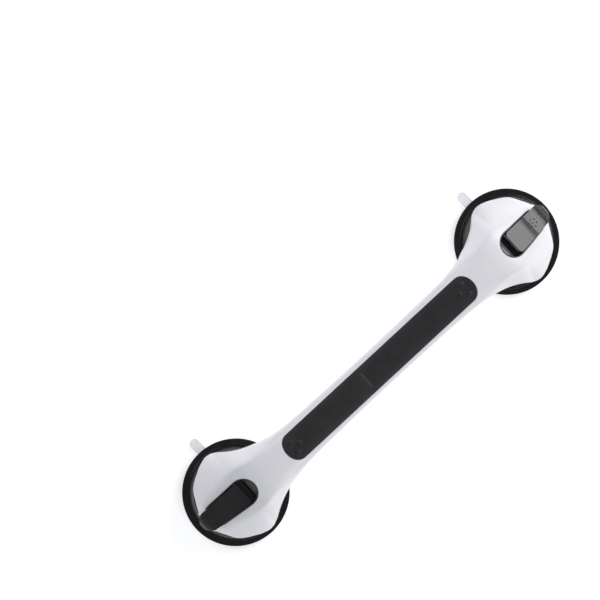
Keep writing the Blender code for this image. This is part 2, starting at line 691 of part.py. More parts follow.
def make_pull_stem(name, side, mats):
    at = (side * CUP_X, 0.0)
    flange_low = CORE_Z[1] + GAP
    flange_top = flange_low + FLANGE_T
    profile = [(0, CORE_Z[0] + 0.4 * MM), (STEM_R, CORE_Z[0] + 0.4 * MM), (STEM_R, flange_low),
               (FLANGE_R, flange_low), (FLANGE_R, flange_top), (STEM_R, flange_top), (STEM_R, PIN_Z), (0, PIN_Z)]
    stem = turned(name + "_pull_stem", profile, at, mats["steel"], segments=16)
    eye = cross_cylinder(name + "_eye_tool", side, 0.0, PIN_Z, EYE_R, EYE_HALF_WIDTH)
    combine(stem, eye, "UNION")
    hole = cross_cylinder(name + "_eye_hole_tool", side, 0.0, PIN_Z, PIN_HOLE_R, EYE_HALF_WIDTH + THROUGH)
    combine(stem, hole, "DIFFERENCE")
    put_origin(stem, (*at, PIN_Z))
    return stem


def make_cup_core(name, side, mats):
    bore = STEM_R + GAP
    profile = [(CORE_R, CORE_Z[0]), (CORE_R, CORE_Z[1] - 0.6 * MM), (CORE_R - 0.6 * MM, CORE_Z[1]),
               (bore, CORE_Z[1]), (bore, CORE_Z[0])]
    return turned(name + "_cup_core", profile, (side * CUP_X, 0.0), mats["nylon"], 20, closed=True)


def make_return_spring(name, side, mats):
    """A coil spring round the stem, between the core and the top of the tower."""
    low = CORE_Z[1] + GAP + SPRING_WIRE_R
    high = TOWER_TOP - DECK_T - GAP - SPRING_WIRE_R
    steps, sides = SPRING_TURNS * 12, 5
    rings = []
    for i in range(steps + 1):
        a = 2 * math.pi * SPRING_TURNS * i / steps
        z = low + (high - low) * i / steps
        ring = []
        for k in range(sides):
            b = 2 * math.pi * k / sides
            r = SPRING_R + SPRING_WIRE_R * math.cos(b)
            ring.append((side * CUP_X + r * math.cos(a), r * math.sin(a), z + SPRING_WIRE_R * math.sin(b)))
        rings.append(ring)
    return loft(name + "_return_spring", rings, mats["steel"])


def make_suction_cup(name, side, mats):
    """The soft disc: a flat sealing ring, a raised middle and the tab that breaks the seal."""
    under, top = [], []
    for i in range(6):
        r = CONTACT_R * i / 5
        under.append((r, DOME_Z * math.cos(math.pi * i / 10) ** 2))
    for i in range(4):
        r = CONTACT_R + (CORE_R - CONTACT_R) * i / 3
        rise = smoothstep(0, 1, i / 3)
        top.append((r, CUP_RIM_T + (CUP_TOP - CUP_RIM_T) * rise))
    rim = [(CUP_R - 0.5 * MM, 0.0), (CUP_R, 0.5 * MM), (CUP_R, CUP_RIM_T)]
    profile = under + rim + top + [(0, CUP_TOP)]
    cup = turned(name + "_suction_cup", profile, (side * CUP_X, 0.0), mats["clear_tpu"], 36)
    arc = [math.radians(a) for a in range(0, 181, 30)]
    centre_y = TAB_TIP_Y - TAB_HALF_WIDTH
    tab = [(TAB_S + TAB_HALF_WIDTH * math.cos(a), centre_y + TAB_HALF_WIDTH * math.sin(a)) for a in arc]
    tab += [(TAB_S - TAB_HALF_WIDTH, 40 * MM), (TAB_S + TAB_HALF_WIDTH, 40 * MM)]
    plan = [(side * (CUP_X - s), y) for s, y in tab]
    return combine(cup, prism(name + "_tab_tool", plan, *TAB_Z), "UNION")


# ---------------------------------------------------------------- the whole grab bar

def make_handle(mats):
    make_handle_shell(mats)
    grip_slab("grip_pad", 0.0, GRIP_DEPTH, GRIP_PROUD, mats["grip_rubber"])
    make_handle_back(mats)
    for n, x in enumerate(BACK_SCREW_X):
        make_screw(f"back_screw_{n + 1}", (x, 0.0), BACK_SCREW_Z, BACK_SCREW_LENGTH, mats)


def make_end(name, side, mats):
    make_base_dish(name, side, mats)
    make_lever_well(name, side, mats)
    make_bearing_plate(name, side, mats)
    make_suction_cup(name, side, mats)
    make_cup_core(name, side, mats)
    make_return_spring(name, side, mats)
    make_pull_stem(name, side, mats)
    make_lever_pin(name, side, mats)
    make_lever(name, side, mats)
    for n, (s, y) in enumerate(dish_screw_places()):
        spot = (side * (CUP_X - s), y)
        make_screw(f"{name}_dish_screw_{n + 1}", spot, dish_screw_z(), DISH_SCREW_LENGTH, mats)


def build():
    clear_scene()
    mats = make_materials()
    make_handle(mats)
    for name, side in SIDES.items():
        make_end(name, side, mats)


build()
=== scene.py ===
"""Looks of a suction grab bar: a white bar on two round cups, each locked by a black flip lever.

Everything is in the frame of the CAD model: X along the bar, Y across it, Z out of the wall, the origin
on the wall under the middle of the bar. "s" is the distance from a cup's axis towards the middle of the
bar, so x = side * (CUP_X - s), with side -1 on the left and +1 on the right. Curves over s, lists of
plain numbers and values with names in _MM are in millimetres. All else is in metres.
"""

import math

import bmesh
import bpy
import numpy as np
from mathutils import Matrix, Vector


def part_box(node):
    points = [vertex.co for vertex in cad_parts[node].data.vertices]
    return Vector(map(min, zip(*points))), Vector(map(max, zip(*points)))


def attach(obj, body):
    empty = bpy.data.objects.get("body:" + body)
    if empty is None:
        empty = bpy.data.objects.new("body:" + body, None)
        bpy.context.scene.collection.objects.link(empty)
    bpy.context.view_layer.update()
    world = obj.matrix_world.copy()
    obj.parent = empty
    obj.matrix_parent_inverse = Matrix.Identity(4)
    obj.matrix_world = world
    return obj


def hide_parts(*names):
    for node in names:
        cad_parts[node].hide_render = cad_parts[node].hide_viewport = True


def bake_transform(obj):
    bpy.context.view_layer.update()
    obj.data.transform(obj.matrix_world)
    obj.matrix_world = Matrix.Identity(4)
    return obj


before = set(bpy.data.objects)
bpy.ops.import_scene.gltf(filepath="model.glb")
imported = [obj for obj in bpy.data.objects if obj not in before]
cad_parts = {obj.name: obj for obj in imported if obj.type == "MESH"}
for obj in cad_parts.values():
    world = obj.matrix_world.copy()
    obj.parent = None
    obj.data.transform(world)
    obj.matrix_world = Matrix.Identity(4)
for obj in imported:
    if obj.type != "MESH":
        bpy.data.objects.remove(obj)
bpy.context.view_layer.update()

MM = 0.001
GAP = 0.3 * MM
SIDES = {"left": -1, "right": 1}


def middle(node):
    low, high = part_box(node)
    return (low + high) / 2


# Places taken from the frame
CUP_X = middle("right_base_dish").x
PIN_Z = middle("right_lever_pin").z
TAB_TIP_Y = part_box("right_suction_cup")[1].y
GRIP_HALF_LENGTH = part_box("grip_pad")[1].x
LEVER_TIP_S = CUP_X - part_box("right_lever")[1].x
DISH_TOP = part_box("right_base_dish")[1].z
PLATE_LOW, PLATE_HIGH = (corner.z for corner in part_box("right_bearing_plate"))
CORE_LOW, CORE_HIGH = (corner.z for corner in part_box("right_cup_core"))
STEM_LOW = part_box("right_pull_stem")[0].z
SPRING_LOW, SPRING_HIGH = (corner.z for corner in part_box("right_return_spring"))
PIN_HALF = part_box("right_lever_pin")[1].y

# Shell: curves over s
HALF_WIDTH = [(-37.0, 10.5), (-34.0, 15.6), (-31.0, 20.9), (-28.0, 26.1), (-25.0, 30.2), (-20.0, 34.0),
              (-13.0, 38.0), (-6.0, 41.4), (2.0, 43.3), (6.0, 42.7), (11.0, 40.4), (20.0, 34.0),
              (29.0, 29.0), (38.0, 25.3), (50.0, 22.0), (60.0, 20.2), (75.0, 18.8), (100.0, 18.1),
              (167.5, 17.5)]
CREST_Z = [(-37.0, 30.5), (-30.0, 37.0), (-20.0, 45.8), (-10.0, 53.4), (0.0, 60.0), (10.0, 65.2),
           (20.0, 68.8), (32.0, 70.8), (45.0, 71.5), (60.0, 71.6), (167.5, 71.6)]
CREASE_Y = [(-37.0, 6.0), (-28.0, 13.5), (-10.0, 18.5), (10.0, 20.5), (35.0, 16.4), (60.0, 13.5),
            (167.5, 12.0)]
CREASE_DROP = [(-37.0, 1.8), (-20.0, 4.2), (0.0, 4.6), (15.0, 3.2), (40.0, 2.0), (167.5, 2.0)]
EDGE_Z = [(-37.0, 25.0), (8.0, 25.0), (10.0, 27.0), (14.0, 32.5), (18.0, 37.8), (24.0, 43.0), (32.0, 47.8),
          (42.0, 52.5), (54.0, 56.5), (66.0, 59.0), (78.0, 60.0), (167.5, 60.0)]
UNDERSIDE_Z = [(39.0, 1.5), (43.0, 4.5), (44.5, 9.0), (46.0, 15.0), (48.5, 22.5), (52.0, 29.8),
               (57.0, 36.0), (65.0, 40.5), (76.0, 42.0), (167.5, 42.0)]
TIP_MM = -37.0                      # s of the shell's tips
TIP_WALL_MM = 12.0                  # the wall thickens towards the tip over this length
BACK_START_MM = 9.5                 # the back cover starts here
NECK_END_MM = 84.0                  # past here the bar is even, and sections are far apart
SECTION_STEP_MM = 4.0
TIP_LEAN = 0.5 * MM                 # the tip's end wall leans out by this, and narrows to this share
TIP_NARROW = 0.9
INNER_TIP_LEAN = 0.18 * MM          # the same two for the inner skin
INNER_TIP_NARROW = 0.965
CREASE_SHARE = 0.8                  # the crease stays within this share of the half width
SIDE_POWER = 1.15                   # how the shield's side curves down from the crease
SHELL_T = 2.7 * MM
BACK_T = 2.4 * MM
BAR_ROUNDNESS = 0.80
SHIELD_TO_BAR = (20 * MM, 66 * MM)
BOSS_R = 3.8 * MM
BACK_SCREW_X = (-95 * MM, -45 * MM, 45 * MM, 95 * MM)
BACK_SCREW_LENGTH = 14.5 * MM
BACK_SEAT_Z = 45.4 * MM             # where the head bears
BACK_POST_R = 5.0 * MM
BACK_POST_Z = (43.2 * MM, 47.3 * MM)
BACK_BORE_Z = (46 * MM, 59 * MM)
SLOT_LOW = 31 * MM                  # the lever's slot is cut down to here
DISH_SCREW_AT = ((-16 * MM, 22 * MM), (18 * MM, 24 * MM))
DISH_SCREW_LENGTH = 11.5 * MM
DISH_BORE_DEPTH = 7.5 * MM          # of the thread bore over the deck

# Grip pad
GRIP_HALF_WIDTH = 12.9 * MM
GRIP_END = 10.8 * MM
GRIP_PROUD = 0.4 * MM
GRIP_DEPTH = 1.4 * MM
GRIP_EDGE_R = 0.9 * MM
GRIP_BUMPS = ((102.0, 5.5), (102.0, -5.5), (95.3, 0.0))
GRIP_BUMP_R = 2.2 * MM
GRIP_BUMP_H = 1.1 * MM
GRIP_BUMP_SECTIONS = (92.0, 98.4, 0.35)    # x of the first section, the end and the step
GRIP_PLAIN_SECTIONS = (2.0, 92.0, 6.0)
GRIP_LINE_X = -14.5 * MM
GRIP_LINE_HALF_LENGTH = 8.7 * MM
GRIP_LINE_HALF_WIDTH = 0.35 * MM
GRIP_LINE_DEPTH = 0.3 * MM
GRIP_END_POWER = 2.2

# Base dish
DISH_R = 48.5 * MM
RIM_INNER_R = 43.6 * MM
WALL_FOOT = (42.8 * MM, 6.6 * MM)
WALL_HEAD = (38.6 * MM, 23.7 * MM)
RIM_TOP = 6.0 * MM
DISH_BOTTOM = 2.3 * MM
DECK_R = 37.8 * MM
DECK_TOP = 24.5 * MM
DECK_T = 2.5 * MM
DISH_WALL = 2.5 * MM
DISH_EDGE_R = 0.8 * MM
UNDERCUT = (41.0 * MM, 4.6 * MM)    # radius under the rim, and height of the wall's inner foot
TOWER_R = 13 * MM
TOWER_BORE_R = 10.5 * MM
STEM_HOLE_R = 6.0 * MM

# Lever and well
TRAVEL = 4.0 * MM
LEVER_TURN = math.radians(90)
CAM_LOCKED = 8.5 * MM               # from the pin down to the plate while the lever lies flat
LEVER_HALF_WIDTH = (11.1 * MM, 9.7 * MM)   # over the pin, and where the round tip starts
LEVER_TIP_LENGTH = 9.5 * MM
LEVER_CORNER_R = 3.5 * MM
LEVER_INNER_S = 6.3 * MM
LEVER_WALL = 2.3 * MM
LEVER_BORDER = 1.7 * MM
LEVER_BLANK_HALF = 14 * MM          # the side view is carried this far across before the plan cuts it
LEVER_BLANK_Z = (20 * MM, 70 * MM)
LEVER_BEND_S = -29 * MM             # past here the underside lies below LEVER_LOW_Z
LEVER_LOW_Z = 29 * MM
LEVER_UNDER_LINE = (7.7 * MM, 0.63) # height over the pin at s = 0, and slope, between top and underside
POCKET = [(-12.5, 30.0), (-12.5, 49.8), (-28.0, 39.9), (-28.0, 30.0)]
HEEL = [(4.1, 55.4), (4.1, 59.9), (6.3, 60.9)]
LEVER_BUMP_ROWS = ((-18.6, 2), (-22.0, 3), (-25.4, 2), (-32.4, 2), (-35.6, 3), (-38.6, 2))
LEVER_BUMP_PITCH = 3.7 * MM
LEVER_BUMP_R = 0.85 * MM
LEVER_BUMP_RISE = 0.45              # height as a share of the radius
FORK_HALF_WIDTH = 4.3 * MM
PIN_R = 2.2 * MM
PIN_HOLE_R = 2.5 * MM
WELL_R = 12.7 * MM
WELL_CENTRE_S = 5.8 * MM
WELL_OUTER_S = -29.0 * MM
WELL_OUTER_HALF = 10.9 * MM
WELL_WALL = 0.6 * MM
WELL_FLOOR_T = 1.4 * MM
WELL_STEP_BACK = 1.6 * MM
WELL_CORNER_R = 0.8 * MM
SCOOP_CORNER_R = 11 * MM            # added to it behind the lever, over this stretch of s
SCOOP_STARTS = (11.5 * MM, 14 * MM)
WELL_FLOOR = [(-29.0, 33.5), (-24.0, 37.0), (-17.0, 41.9), (-13.5, 43.7), (11.0, 43.7),
              (12.1, 44.6), (12.4, 52.0), (12.6, 60.6), (13.1, 62.9), (18.5, 66.6)]
WELL_NARROWS = (-24 * MM, -29 * MM)
WELL_NARROWS_BY = 0.6 * MM
PLATE_CORNER_R = 2.0 * MM
PLATE_HOLE_R = 3.4 * MM

# Cup, core, stem and spring
CUP_R = 47.2 * MM
CONTACT_R = 36.0 * MM
CUP_RIM_T = 2.0 * MM
DOME_Z = 6.0 * MM
CUP_TOP = 8.3 * MM
CORE_R = 15 * MM
STEM_R = 2.6 * MM
STEM_END_CHAMFER = 0.3 * MM
EYE_R = 3.7 * MM
EYE_HALF_WIDTH = 3.7 * MM
FLANGE_R = 6.8 * MM
FLANGE_T = 2.0 * MM
SPRING_R = 8.6 * MM
SPRING_WIRE_R = 0.8 * MM
SPRING_TURNS = 4
TAB_S = 2.2 * MM
TAB_ROOT_Y = 40 * MM
TAB_HALF_WIDTH = 4.65 * MM
TAB_Z = (0.4 * MM, 1.7 * MM)
TAB_EDGE = 1.0 * MM
TAB_DISH = 0.35 * MM

# Screws
SCREW_R = 1.45 * MM
SCREW_HEAD_R = 3.0 * MM
SCREW_HEAD_H = 1.9 * MM
SCREW_HOLE_R = 1.8 * MM
SCREW_CROWN_H = 0.7 * MM
THREAD_PITCH = 0.7 * MM
THREAD_DEPTH = 0.3 * MM
SOCKET_R = 1.35 * MM
SOCKET_DEPTH = 1.1 * MM

THROUGH = 5 * MM                    # how far a tool passes beyond what it cuts

# Camera and studio
CAMERA_AT = (-0.1194, 0.1592, 1.8277)
CAMERA_TURN = (0.736, -4.083, -42.522)
LENS = 121.3
FLOOR_Z = -0.3 * MM
FLOOR_HALF = 4.0
LIGHT_AIM = (0, 0, 0.03)
LIGHTS = (("key_soft", (3.0, -0.1, 1.4), (2.6, 1.9), 78.0, (1.0, 1.0, 1.0)),
          ("upper_fill", (-0.3, 1.7, 1.2), (1.6, 1.0), 13.0, (0.93, 0.94, 1.0)),
          ("lower_fill", (-0.4, -1.7, 1.2), (1.6, 1.0), 13.0, (0.95, 0.96, 1.0)))
SKY_COLOUR = (0.97, 0.98, 1.0, 1.0)
SKY_STRENGTH = 0.32


# ---------------------------------------------------------------- camera, floor and light

def make_camera():
    """Looks down on the bar from nearly straight above, with the bar running up to the right."""
    data = bpy.data.cameras.new("camera")
    data.sensor_width = 36.0
    data.lens = LENS
    data.clip_start = 0.05
    camera = bpy.data.objects.new("camera", data)
    camera.location = CAMERA_AT
    camera.rotation_mode = "YXZ"
    camera.rotation_euler = [math.radians(a) for a in CAMERA_TURN]
    bpy.context.scene.collection.objects.link(camera)
    bpy.context.scene.camera = camera


def make_light(name, place, size, power, colour):
    data = bpy.data.lights.new(name, "AREA")
    data.shape = "RECTANGLE"
    data.size, data.size_y = size
    data.energy = power
    data.color = colour
    light = bpy.data.objects.new(name, data)
    light.location = place
    light.rotation_euler = (Vector(LIGHT_AIM) - Vector(place)).to_track_quat("-Z", "Y").to_euler()
    bpy.context.scene.collection.objects.link(light)


def make_studio():
    """Soft light from three sides, an even sky and a pale floor."""
    for light in LIGHTS:
        make_light(*light)
    world = bpy.data.worlds.new("studio")
    world.use_nodes = True
    background = world.node_tree.nodes["Background"]
    background.inputs["Color"].default_value = SKY_COLOUR
    background.inputs["Strength"].default_value = SKY_STRENGTH
    bpy.context.scene.world = world
    bpy.context.scene.view_settings.view_transform = "Standard"
    corners = [(-FLOOR_HALF, -FLOOR_HALF), (FLOOR_HALF, -FLOOR_HALF), (FLOOR_HALF, FLOOR_HALF),
               (-FLOOR_HALF, FLOOR_HALF)]
    floor = new_object("floor", [(x, y, FLOOR_Z) for x, y in corners], [(0, 1, 2, 3)])
    floor.data.materials.append(floor_material())


# ---------------------------------------------------------------- materials

class Nodes:
    """Short helper to build one node material around its Principled shader."""

    def __init__(self, name):
        self.material = bpy.data.materials.new(name)
        self.material.use_nodes = True
        self.tree = self.material.node_tree
        self.shader = self.tree.nodes["Principled BSDF"]
        self.place = self.add("ShaderNodeTexCoord").outputs["Object"]

    def add(self, kind, **settings):
        node = self.tree.nodes.new(kind)
        for key, value in settings.items():
            setattr(node, key, value)
        return node

    def link(self, out, into):
        self.tree.links.new(out, into)

    def set(self, **values):
        for key, value in values.items():
            self.shader.inputs[key.replace("_", " ")].default_value = value

    def noise(self, scale, detail=3.0, stretch=(1.0, 1.0, 1.0)):
        """Noise over the surface; scale is in features per metre."""
        mapping = self.add("ShaderNodeMapping")
        mapping.inputs["Scale"].default_value = stretch
        self.link(self.place, mapping.inputs["Vector"])
        noise = self.add("ShaderNodeTexNoise")
        noise.inputs["Scale"].default_value = scale
        noise.inputs["Detail"].default_value = detail
        self.link(mapping.outputs["Vector"], noise.inputs["Vector"])
        return noise.outputs["Fac"]

    def spread(self, value, low, high, start=0.35, end=0.65):
        """value, from start to end, spread over low to high."""
        spread = self.add("ShaderNodeMapRange")
        spread.inputs["From Min"].default_value = start
        spread.inputs["From Max"].default_value = end
        spread.inputs["To Min"].default_value = low
        spread.inputs["To Max"].default_value = high
        self.link(value, spread.inputs["Value"])
        return spread.outputs["Result"]

    def colours(self, value, first, second):
        """Base colour that runs from first to second with value."""
        ramp = self.add("ShaderNodeValToRGB")
        ramp.color_ramp.elements[0].position = 0.35
        ramp.color_ramp.elements[0].color = (*first, 1.0)
        ramp.color_ramp.elements[1].position = 0.65
        ramp.color_ramp.elements[1].color = (*second, 1.0)
        self.link(value, ramp.inputs["Fac"])
        self.link(ramp.outputs["Color"], self.shader.inputs["Base Color"])

    def roughness(self, value, low, high):
        self.link(self.spread(value, low, high), self.shader.inputs["Roughness"])

    def bump(self, heights, strength):
        """Bump from (value, depth in metres) pairs, one on the other."""
        normal = None
        for value, depth in heights:
            node = self.add("ShaderNodeBump")
            node.inputs["Strength"].default_value = strength
            node.inputs["Distance"].default_value = depth
            self.link(value, node.inputs["Height"])
            if normal:
                self.link(normal, node.inputs["Normal"])
            normal = node.outputs["Normal"]
        self.link(normal, self.shader.inputs["Normal"])


def floor_material():
    m = Nodes("studio_floor")
    m.colours(m.noise(3.0, 1.0), (0.96, 0.96, 0.965), (0.97, 0.97, 0.97))
    m.set(Roughness=0.9, Specular_IOR_Level=0.1)
    m.set(Emission_Color=(1.0, 1.0, 1.0, 1.0), Emission_Strength=0.42)
    return m.material


def white_shell():
    """Moulded white ABS with a fine satin grain."""
    m = Nodes("white_moulding")
    m.colours(m.noise(28.0), (0.735, 0.735, 0.765), (0.765, 0.765, 0.785))
    m.roughness(m.noise(90.0), 0.30, 0.38)
    m.bump([(m.noise(2600.0, 2.0), 0.02 * MM), (m.noise(160.0, 1.0), 0.02 * MM)], 0.25)
    m.set(Coat_Weight=0.12, Coat_Roughness=0.18, Subsurface_Weight=0.04, Subsurface_Scale=0.002)
    return m.material


def grip_rubber():
    """Charcoal soft rubber: a fine stipple, with a slight bloom."""
    m = Nodes("grip_rubber_soft")
    m.colours(m.noise(60.0, 5.0), (0.0145, 0.0150, 0.0155), (0.0195, 0.0200, 0.0205))
    m.roughness(m.noise(240.0), 0.48, 0.62)
    m.bump([(m.noise(1900.0, 3.0), 0.06 * MM), (m.noise(420.0, 2.0), 0.03 * MM)], 0.5)
    m.set(Sheen_Weight=0.03, Sheen_Roughness=0.5, Specular_IOR_Level=0.30)
    return m.material


def black_base():
    """Satin black moulding with the fine grain of an etched tool."""
    m = Nodes("black_satin_moulding")
    m.colours(m.noise(40.0), (0.006, 0.006, 0.0062), (0.0085, 0.0085, 0.0088))
    m.roughness(m.noise(120.0), 0.26, 0.36)
    m.bump([(m.noise(2200.0, 2.0), 0.03 * MM), (m.noise(200.0, 1.0), 0.02 * MM)], 0.35)
    m.set(Specular_IOR_Level=0.32)
    return m.material


def black_gloss():
    """Polished black moulding with faint handling marks."""
    m = Nodes("black_gloss_moulding")
    m.colours(m.noise(30.0), (0.008, 0.008, 0.0085), (0.011, 0.011, 0.0115))
    m.roughness(m.noise(300.0, 4.0, (1.0, 0.2, 1.0)), 0.12, 0.22)
    m.bump([(m.noise(700.0, 3.0, (1.0, 0.15, 1.0)), 0.012 * MM), (m.noise(90.0, 1.0), 0.02 * MM)], 0.25)
    return m.material


def recess_painted_reflection():
    """Satin black moulding of the lever recess; its dark grey colour is a painted reflection."""
    m = Nodes("recess_satin_black_painted_reflection")
    # painted reflection: dark grey, far lighter than the other black mouldings, so the recess looks lit
    m.colours(m.noise(50.0), (0.060, 0.060, 0.062), (0.078, 0.078, 0.080))
    m.roughness(m.noise(200.0), 0.24, 0.36)
    m.bump([(m.noise(1800.0, 2.0), 0.02 * MM)], 0.3)
    return m.material


def clear_tpu():
    """Cloudy, slightly blue soft plastic."""
    m = Nodes("clear_tpu_soft")
    m.colours(m.noise(70.0), (0.90, 0.91, 0.95), (0.94, 0.95, 0.98))
    m.roughness(m.noise(180.0), 0.20, 0.32)
    m.bump([(m.noise(900.0, 2.0), 0.02 * MM)], 0.3)
    m.set(Alpha=0.55, Subsurface_Weight=0.15, Subsurface_Scale=0.003)
    return m.material


def steel():
    """Plated steel with fine turning marks."""
    m = Nodes("steel_plated")
    m.colours(m.noise(400.0, 3.0, (0.2, 0.2, 4.0)), (0.50, 0.50, 0.51), (0.62, 0.62, 0.63))
    m.roughness(m.noise(900.0, 3.0, (0.2, 0.2, 4.0)), 0.22, 0.38)
    m.bump([(m.noise(1600.0, 3.0, (0.2, 0.2, 5.0)), 0.012 * MM)], 0.3)
    m.set(Metallic=1.0)
    return m.material


def nylon():
    """Natural nylon, matt and a little waxy."""
    m = Nodes("nylon_natural")
    m.colours(m.noise(80.0), (0.66, 0.65, 0.60), (0.74, 0.73, 0.68))
    m.roughness(m.noise(250.0), 0.42, 0.56)
    m.bump([(m.noise(1300.0, 2.0), 0.03 * MM)], 0.3)
    m.set(Subsurface_Weight=0.1, Subsurface_Scale=0.002)
    return m.material


# ---------------------------------------------------------------- mesh helpers

def smooth_curve(points):
    """A function through (s, value) points given in millimetres, smooth and without overshoot."""
    s = np.array([p[0] for p in points]) * MM
    v = np.array([p[1] for p in points]) * MM
    chord = np.diff(v) / np.diff(s)
    slope = np.zeros(len(s))
    for i in range(1, len(s) - 1):
        before, after = chord[i - 1], chord[i]
        if before * after > 0:
            slope[i] = 2 * before * after / (before + after)

    def value(at):
        at = float(np.clip(at, s[0], s[-1]))
        i = int(np.clip(np.searchsorted(s, at) - 1, 0, len(s) - 2))
        length = s[i + 1] - s[i]
        t = (at - s[i]) / length
        rise = v[i + 1] - v[i]
        a = slope[i] * length - rise
        b = rise - slope[i + 1] * length
        return float(v[i] + rise * t + t * (1 - t) * (a * (1 - t) + b * t))

    return value


half_width = smooth_curve(HALF_WIDTH)
crest_z = smooth_curve(CREST_Z)
crease_y = smooth_curve(CREASE_Y)
crease_drop = smooth_curve(CREASE_DROP)
edge_z = smooth_curve(EDGE_Z)
underside_z = smooth_curve(UNDERSIDE_Z)
well_floor = smooth_curve(WELL_FLOOR)


def lean_of(curve, s):
    step = 0.5 * MM
    return math.atan((curve(s + step) - curve(s - step)) / (2 * step))


def smoothstep(low, high, value):
    t = min(max((value - low) / (high - low), 0.0), 1.0)
    return t * t * (3 - 2 * t)


def arc(centre, radius, start, end, steps):
    """Points round a centre, with the angles in degrees."""
    turn = np.radians(np.linspace(start, end, steps + 1))
    return [(centre[0] + radius * math.cos(a), centre[1] + radius * math.sin(a)) for a in turn]


def filleted(points, radius, steps=4, closed=True):
    """A plane outline with its corners rounded."""
    out = []
    count = len(points)
    for i, (px, py) in enumerate(points):
        if not closed and i in (0, count - 1):
            out.append((px, py))
            continue
        here = Vector((px, py))
        back = Vector(points[i - 1]) - here
        ahead = Vector(points[(i + 1) % count]) - here
        turn = back.angle(ahead)
        if turn > math.radians(165):
            out.append((px, py))
            continue
        reach = min(radius / math.tan(turn / 2), 0.45 * back.length, 0.45 * ahead.length)
        a = here + back.normalized() * reach
        b = here + ahead.normalized() * reach
        for k in range(steps + 1):
            t = k / steps
            p = a * (1 - t) ** 2 + here * 2 * t * (1 - t) + b * t ** 2
            out.append((p.x, p.y))
    return out


def new_object(name, verts, faces, split=False):
    """A mesh object with its faces out. With split it is in triangles, which an exact Boolean needs on
    curved walls."""
    mesh = bpy.data.meshes.new(name)
    bm = bmesh.new()
    made = [bm.verts.new(v) for v in verts]
    for face in faces:
        bm.faces.new([made[i] for i in face])
    bmesh.ops.recalc_face_normals(bm, faces=bm.faces)
    if bm.calc_volume(signed=True) < 0:
        bmesh.ops.reverse_faces(bm, faces=bm.faces)
    if split:
        bmesh.ops.triangulate(bm, faces=bm.faces)
    bm.to_mesh(mesh)
    bm.free()
    obj = bpy.data.objects.new(name, mesh)
    bpy.context.scene.collection.objects.link(obj)
    return obj


def loft(name, rings):
    """A closed body through rings of equal length, with its first and last ring capped."""
    n = len(rings[0])
    verts = [p for ring in rings for p in ring]
    faces = [[(r + 1) * n + i, (r + 1) * n + (i + 1) % n, r * n + (i + 1) % n, r * n + i]
             for r in range(len(rings) - 1) for i in range(n)]
    faces.append(list(range(n)))
    faces.append([(len(rings) - 1) * n + i for i in reversed(range(n))])
    return new_object(name, verts, faces)


def hollow_sheet(name, outer, inner):
    """A closed wall between two grids of points with the same rows and columns."""
    rows, cols = len(outer), len(outer[0])
    verts = [p for row in outer for p in row] + [p for row in inner for p in row]

    def at(layer, r, c):
        return layer * rows * cols + r * cols + c

    faces = []
    for layer in (0, 1):
        faces += [[at(layer, r, c), at(layer, r + 1, c), at(layer, r + 1, c + 1), at(layer, r, c + 1)]
                  for r in range(rows - 1) for c in range(cols - 1)]
    border = [(r, 0) for r in range(rows)] + [(rows - 1, c) for c in range(1, cols)]
    border += [(r, cols - 1) for r in range(rows - 2, -1, -1)] + [(0, c) for c in range(cols - 2, 0, -1)]
    for (r0, c0), (r1, c1) in zip(border, border[1:] + border[:1]):
        faces.append([at(0, r0, c0), at(0, r1, c1), at(1, r1, c1), at(1, r0, c0)])
    return new_object(name, verts, faces, True)


def turned(name, profiles, segments, closed=False):
    """Bodies of (radius, z) profiles turned about upright axes, from (profile, (x, y)) pairs."""
    verts, faces = [], []
    for profile, (x, y) in profiles:
        rings = []
        for r, z in profile:
            start = len(verts)
            if r < 1e-7:
                rings.append([start] * segments)
                verts.append((x, y, z))
                continue
            rings.append(list(range(start, start + segments)))
            verts += [(x + px, y + py, z) for px, py in arc((0, 0), r, 0, 360, segments)[:-1]]
        pairs = list(zip(rings, rings[1:]))
        if closed:
            pairs.append((rings[-1], rings[0]))
        for lower, upper in pairs:
            for i in range(segments):
                j = (i + 1) % segments
                faces.append(list(dict.fromkeys([lower[i], lower[j], upper[j], upper[i]])))
    return new_object(name, verts, faces)


def post(radius, low, high):
    return [(0, low), (radius, low), (radius, high), (0, high)]


def prism(name, outline, z_low, z_high):
    return loft(name, [[(x, y, z) for x, y in outline] for z in (z_low, z_high)])


def side_prism(name, outline, side, half):
    """An outline of (s, z) carried across the bar from -half to +half."""
    return loft(name, [[(side * (CUP_X - s), y, z) for s, z in outline] for y in (-half, half)])


def combine(target, tool, operation):
    """Applies an exact Boolean to target, and removes the tool."""
    mod = target.modifiers.new(operation.lower(), "BOOLEAN")
    mod.operation = operation
    mod.solver = "EXACT"
    mod.object = tool
    graph = bpy.context.evaluated_depsgraph_get()
    mesh = bpy.data.meshes.new_from_object(target.evaluated_get(graph))
    target.modifiers.clear()
    target.data = mesh
    bpy.data.objects.remove(tool, do_unlink=True)
    return target


def bevel(obj, chosen, width, segments):
    """Bevels the edges for which chosen(edge) is true."""
    bm = bmesh.new()
    bm.from_mesh(obj.data)
    bmesh.ops.remove_doubles(bm, verts=bm.verts, dist=0.002 * MM)
    edges = [e for e in bm.edges if len(e.link_faces) == 2 and chosen(e)]
    bmesh.ops.bevel(bm, geom=edges, offset=width, offset_type="OFFSET", segments=segments, profile=0.5,
                    affect="EDGES", clamp_overlap=True)
    bm.to_mesh(obj.data)
    bm.free()
    return obj


def piece(obj, node, material, body, sharp=38):
    """Gives a finished mesh its look, lets it stand for its CAD node and ride on a body."""
    obj.name = node + "_piece"
    obj.data.materials.clear()
    obj.data.materials.append(material)
    obj.data.shade_smooth()
    obj.data.set_sharp_from_angle(angle=math.radians(sharp))
    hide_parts(node)
    if body:
        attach(obj, body)
    return obj


# ---------------------------------------------------------------- the handle

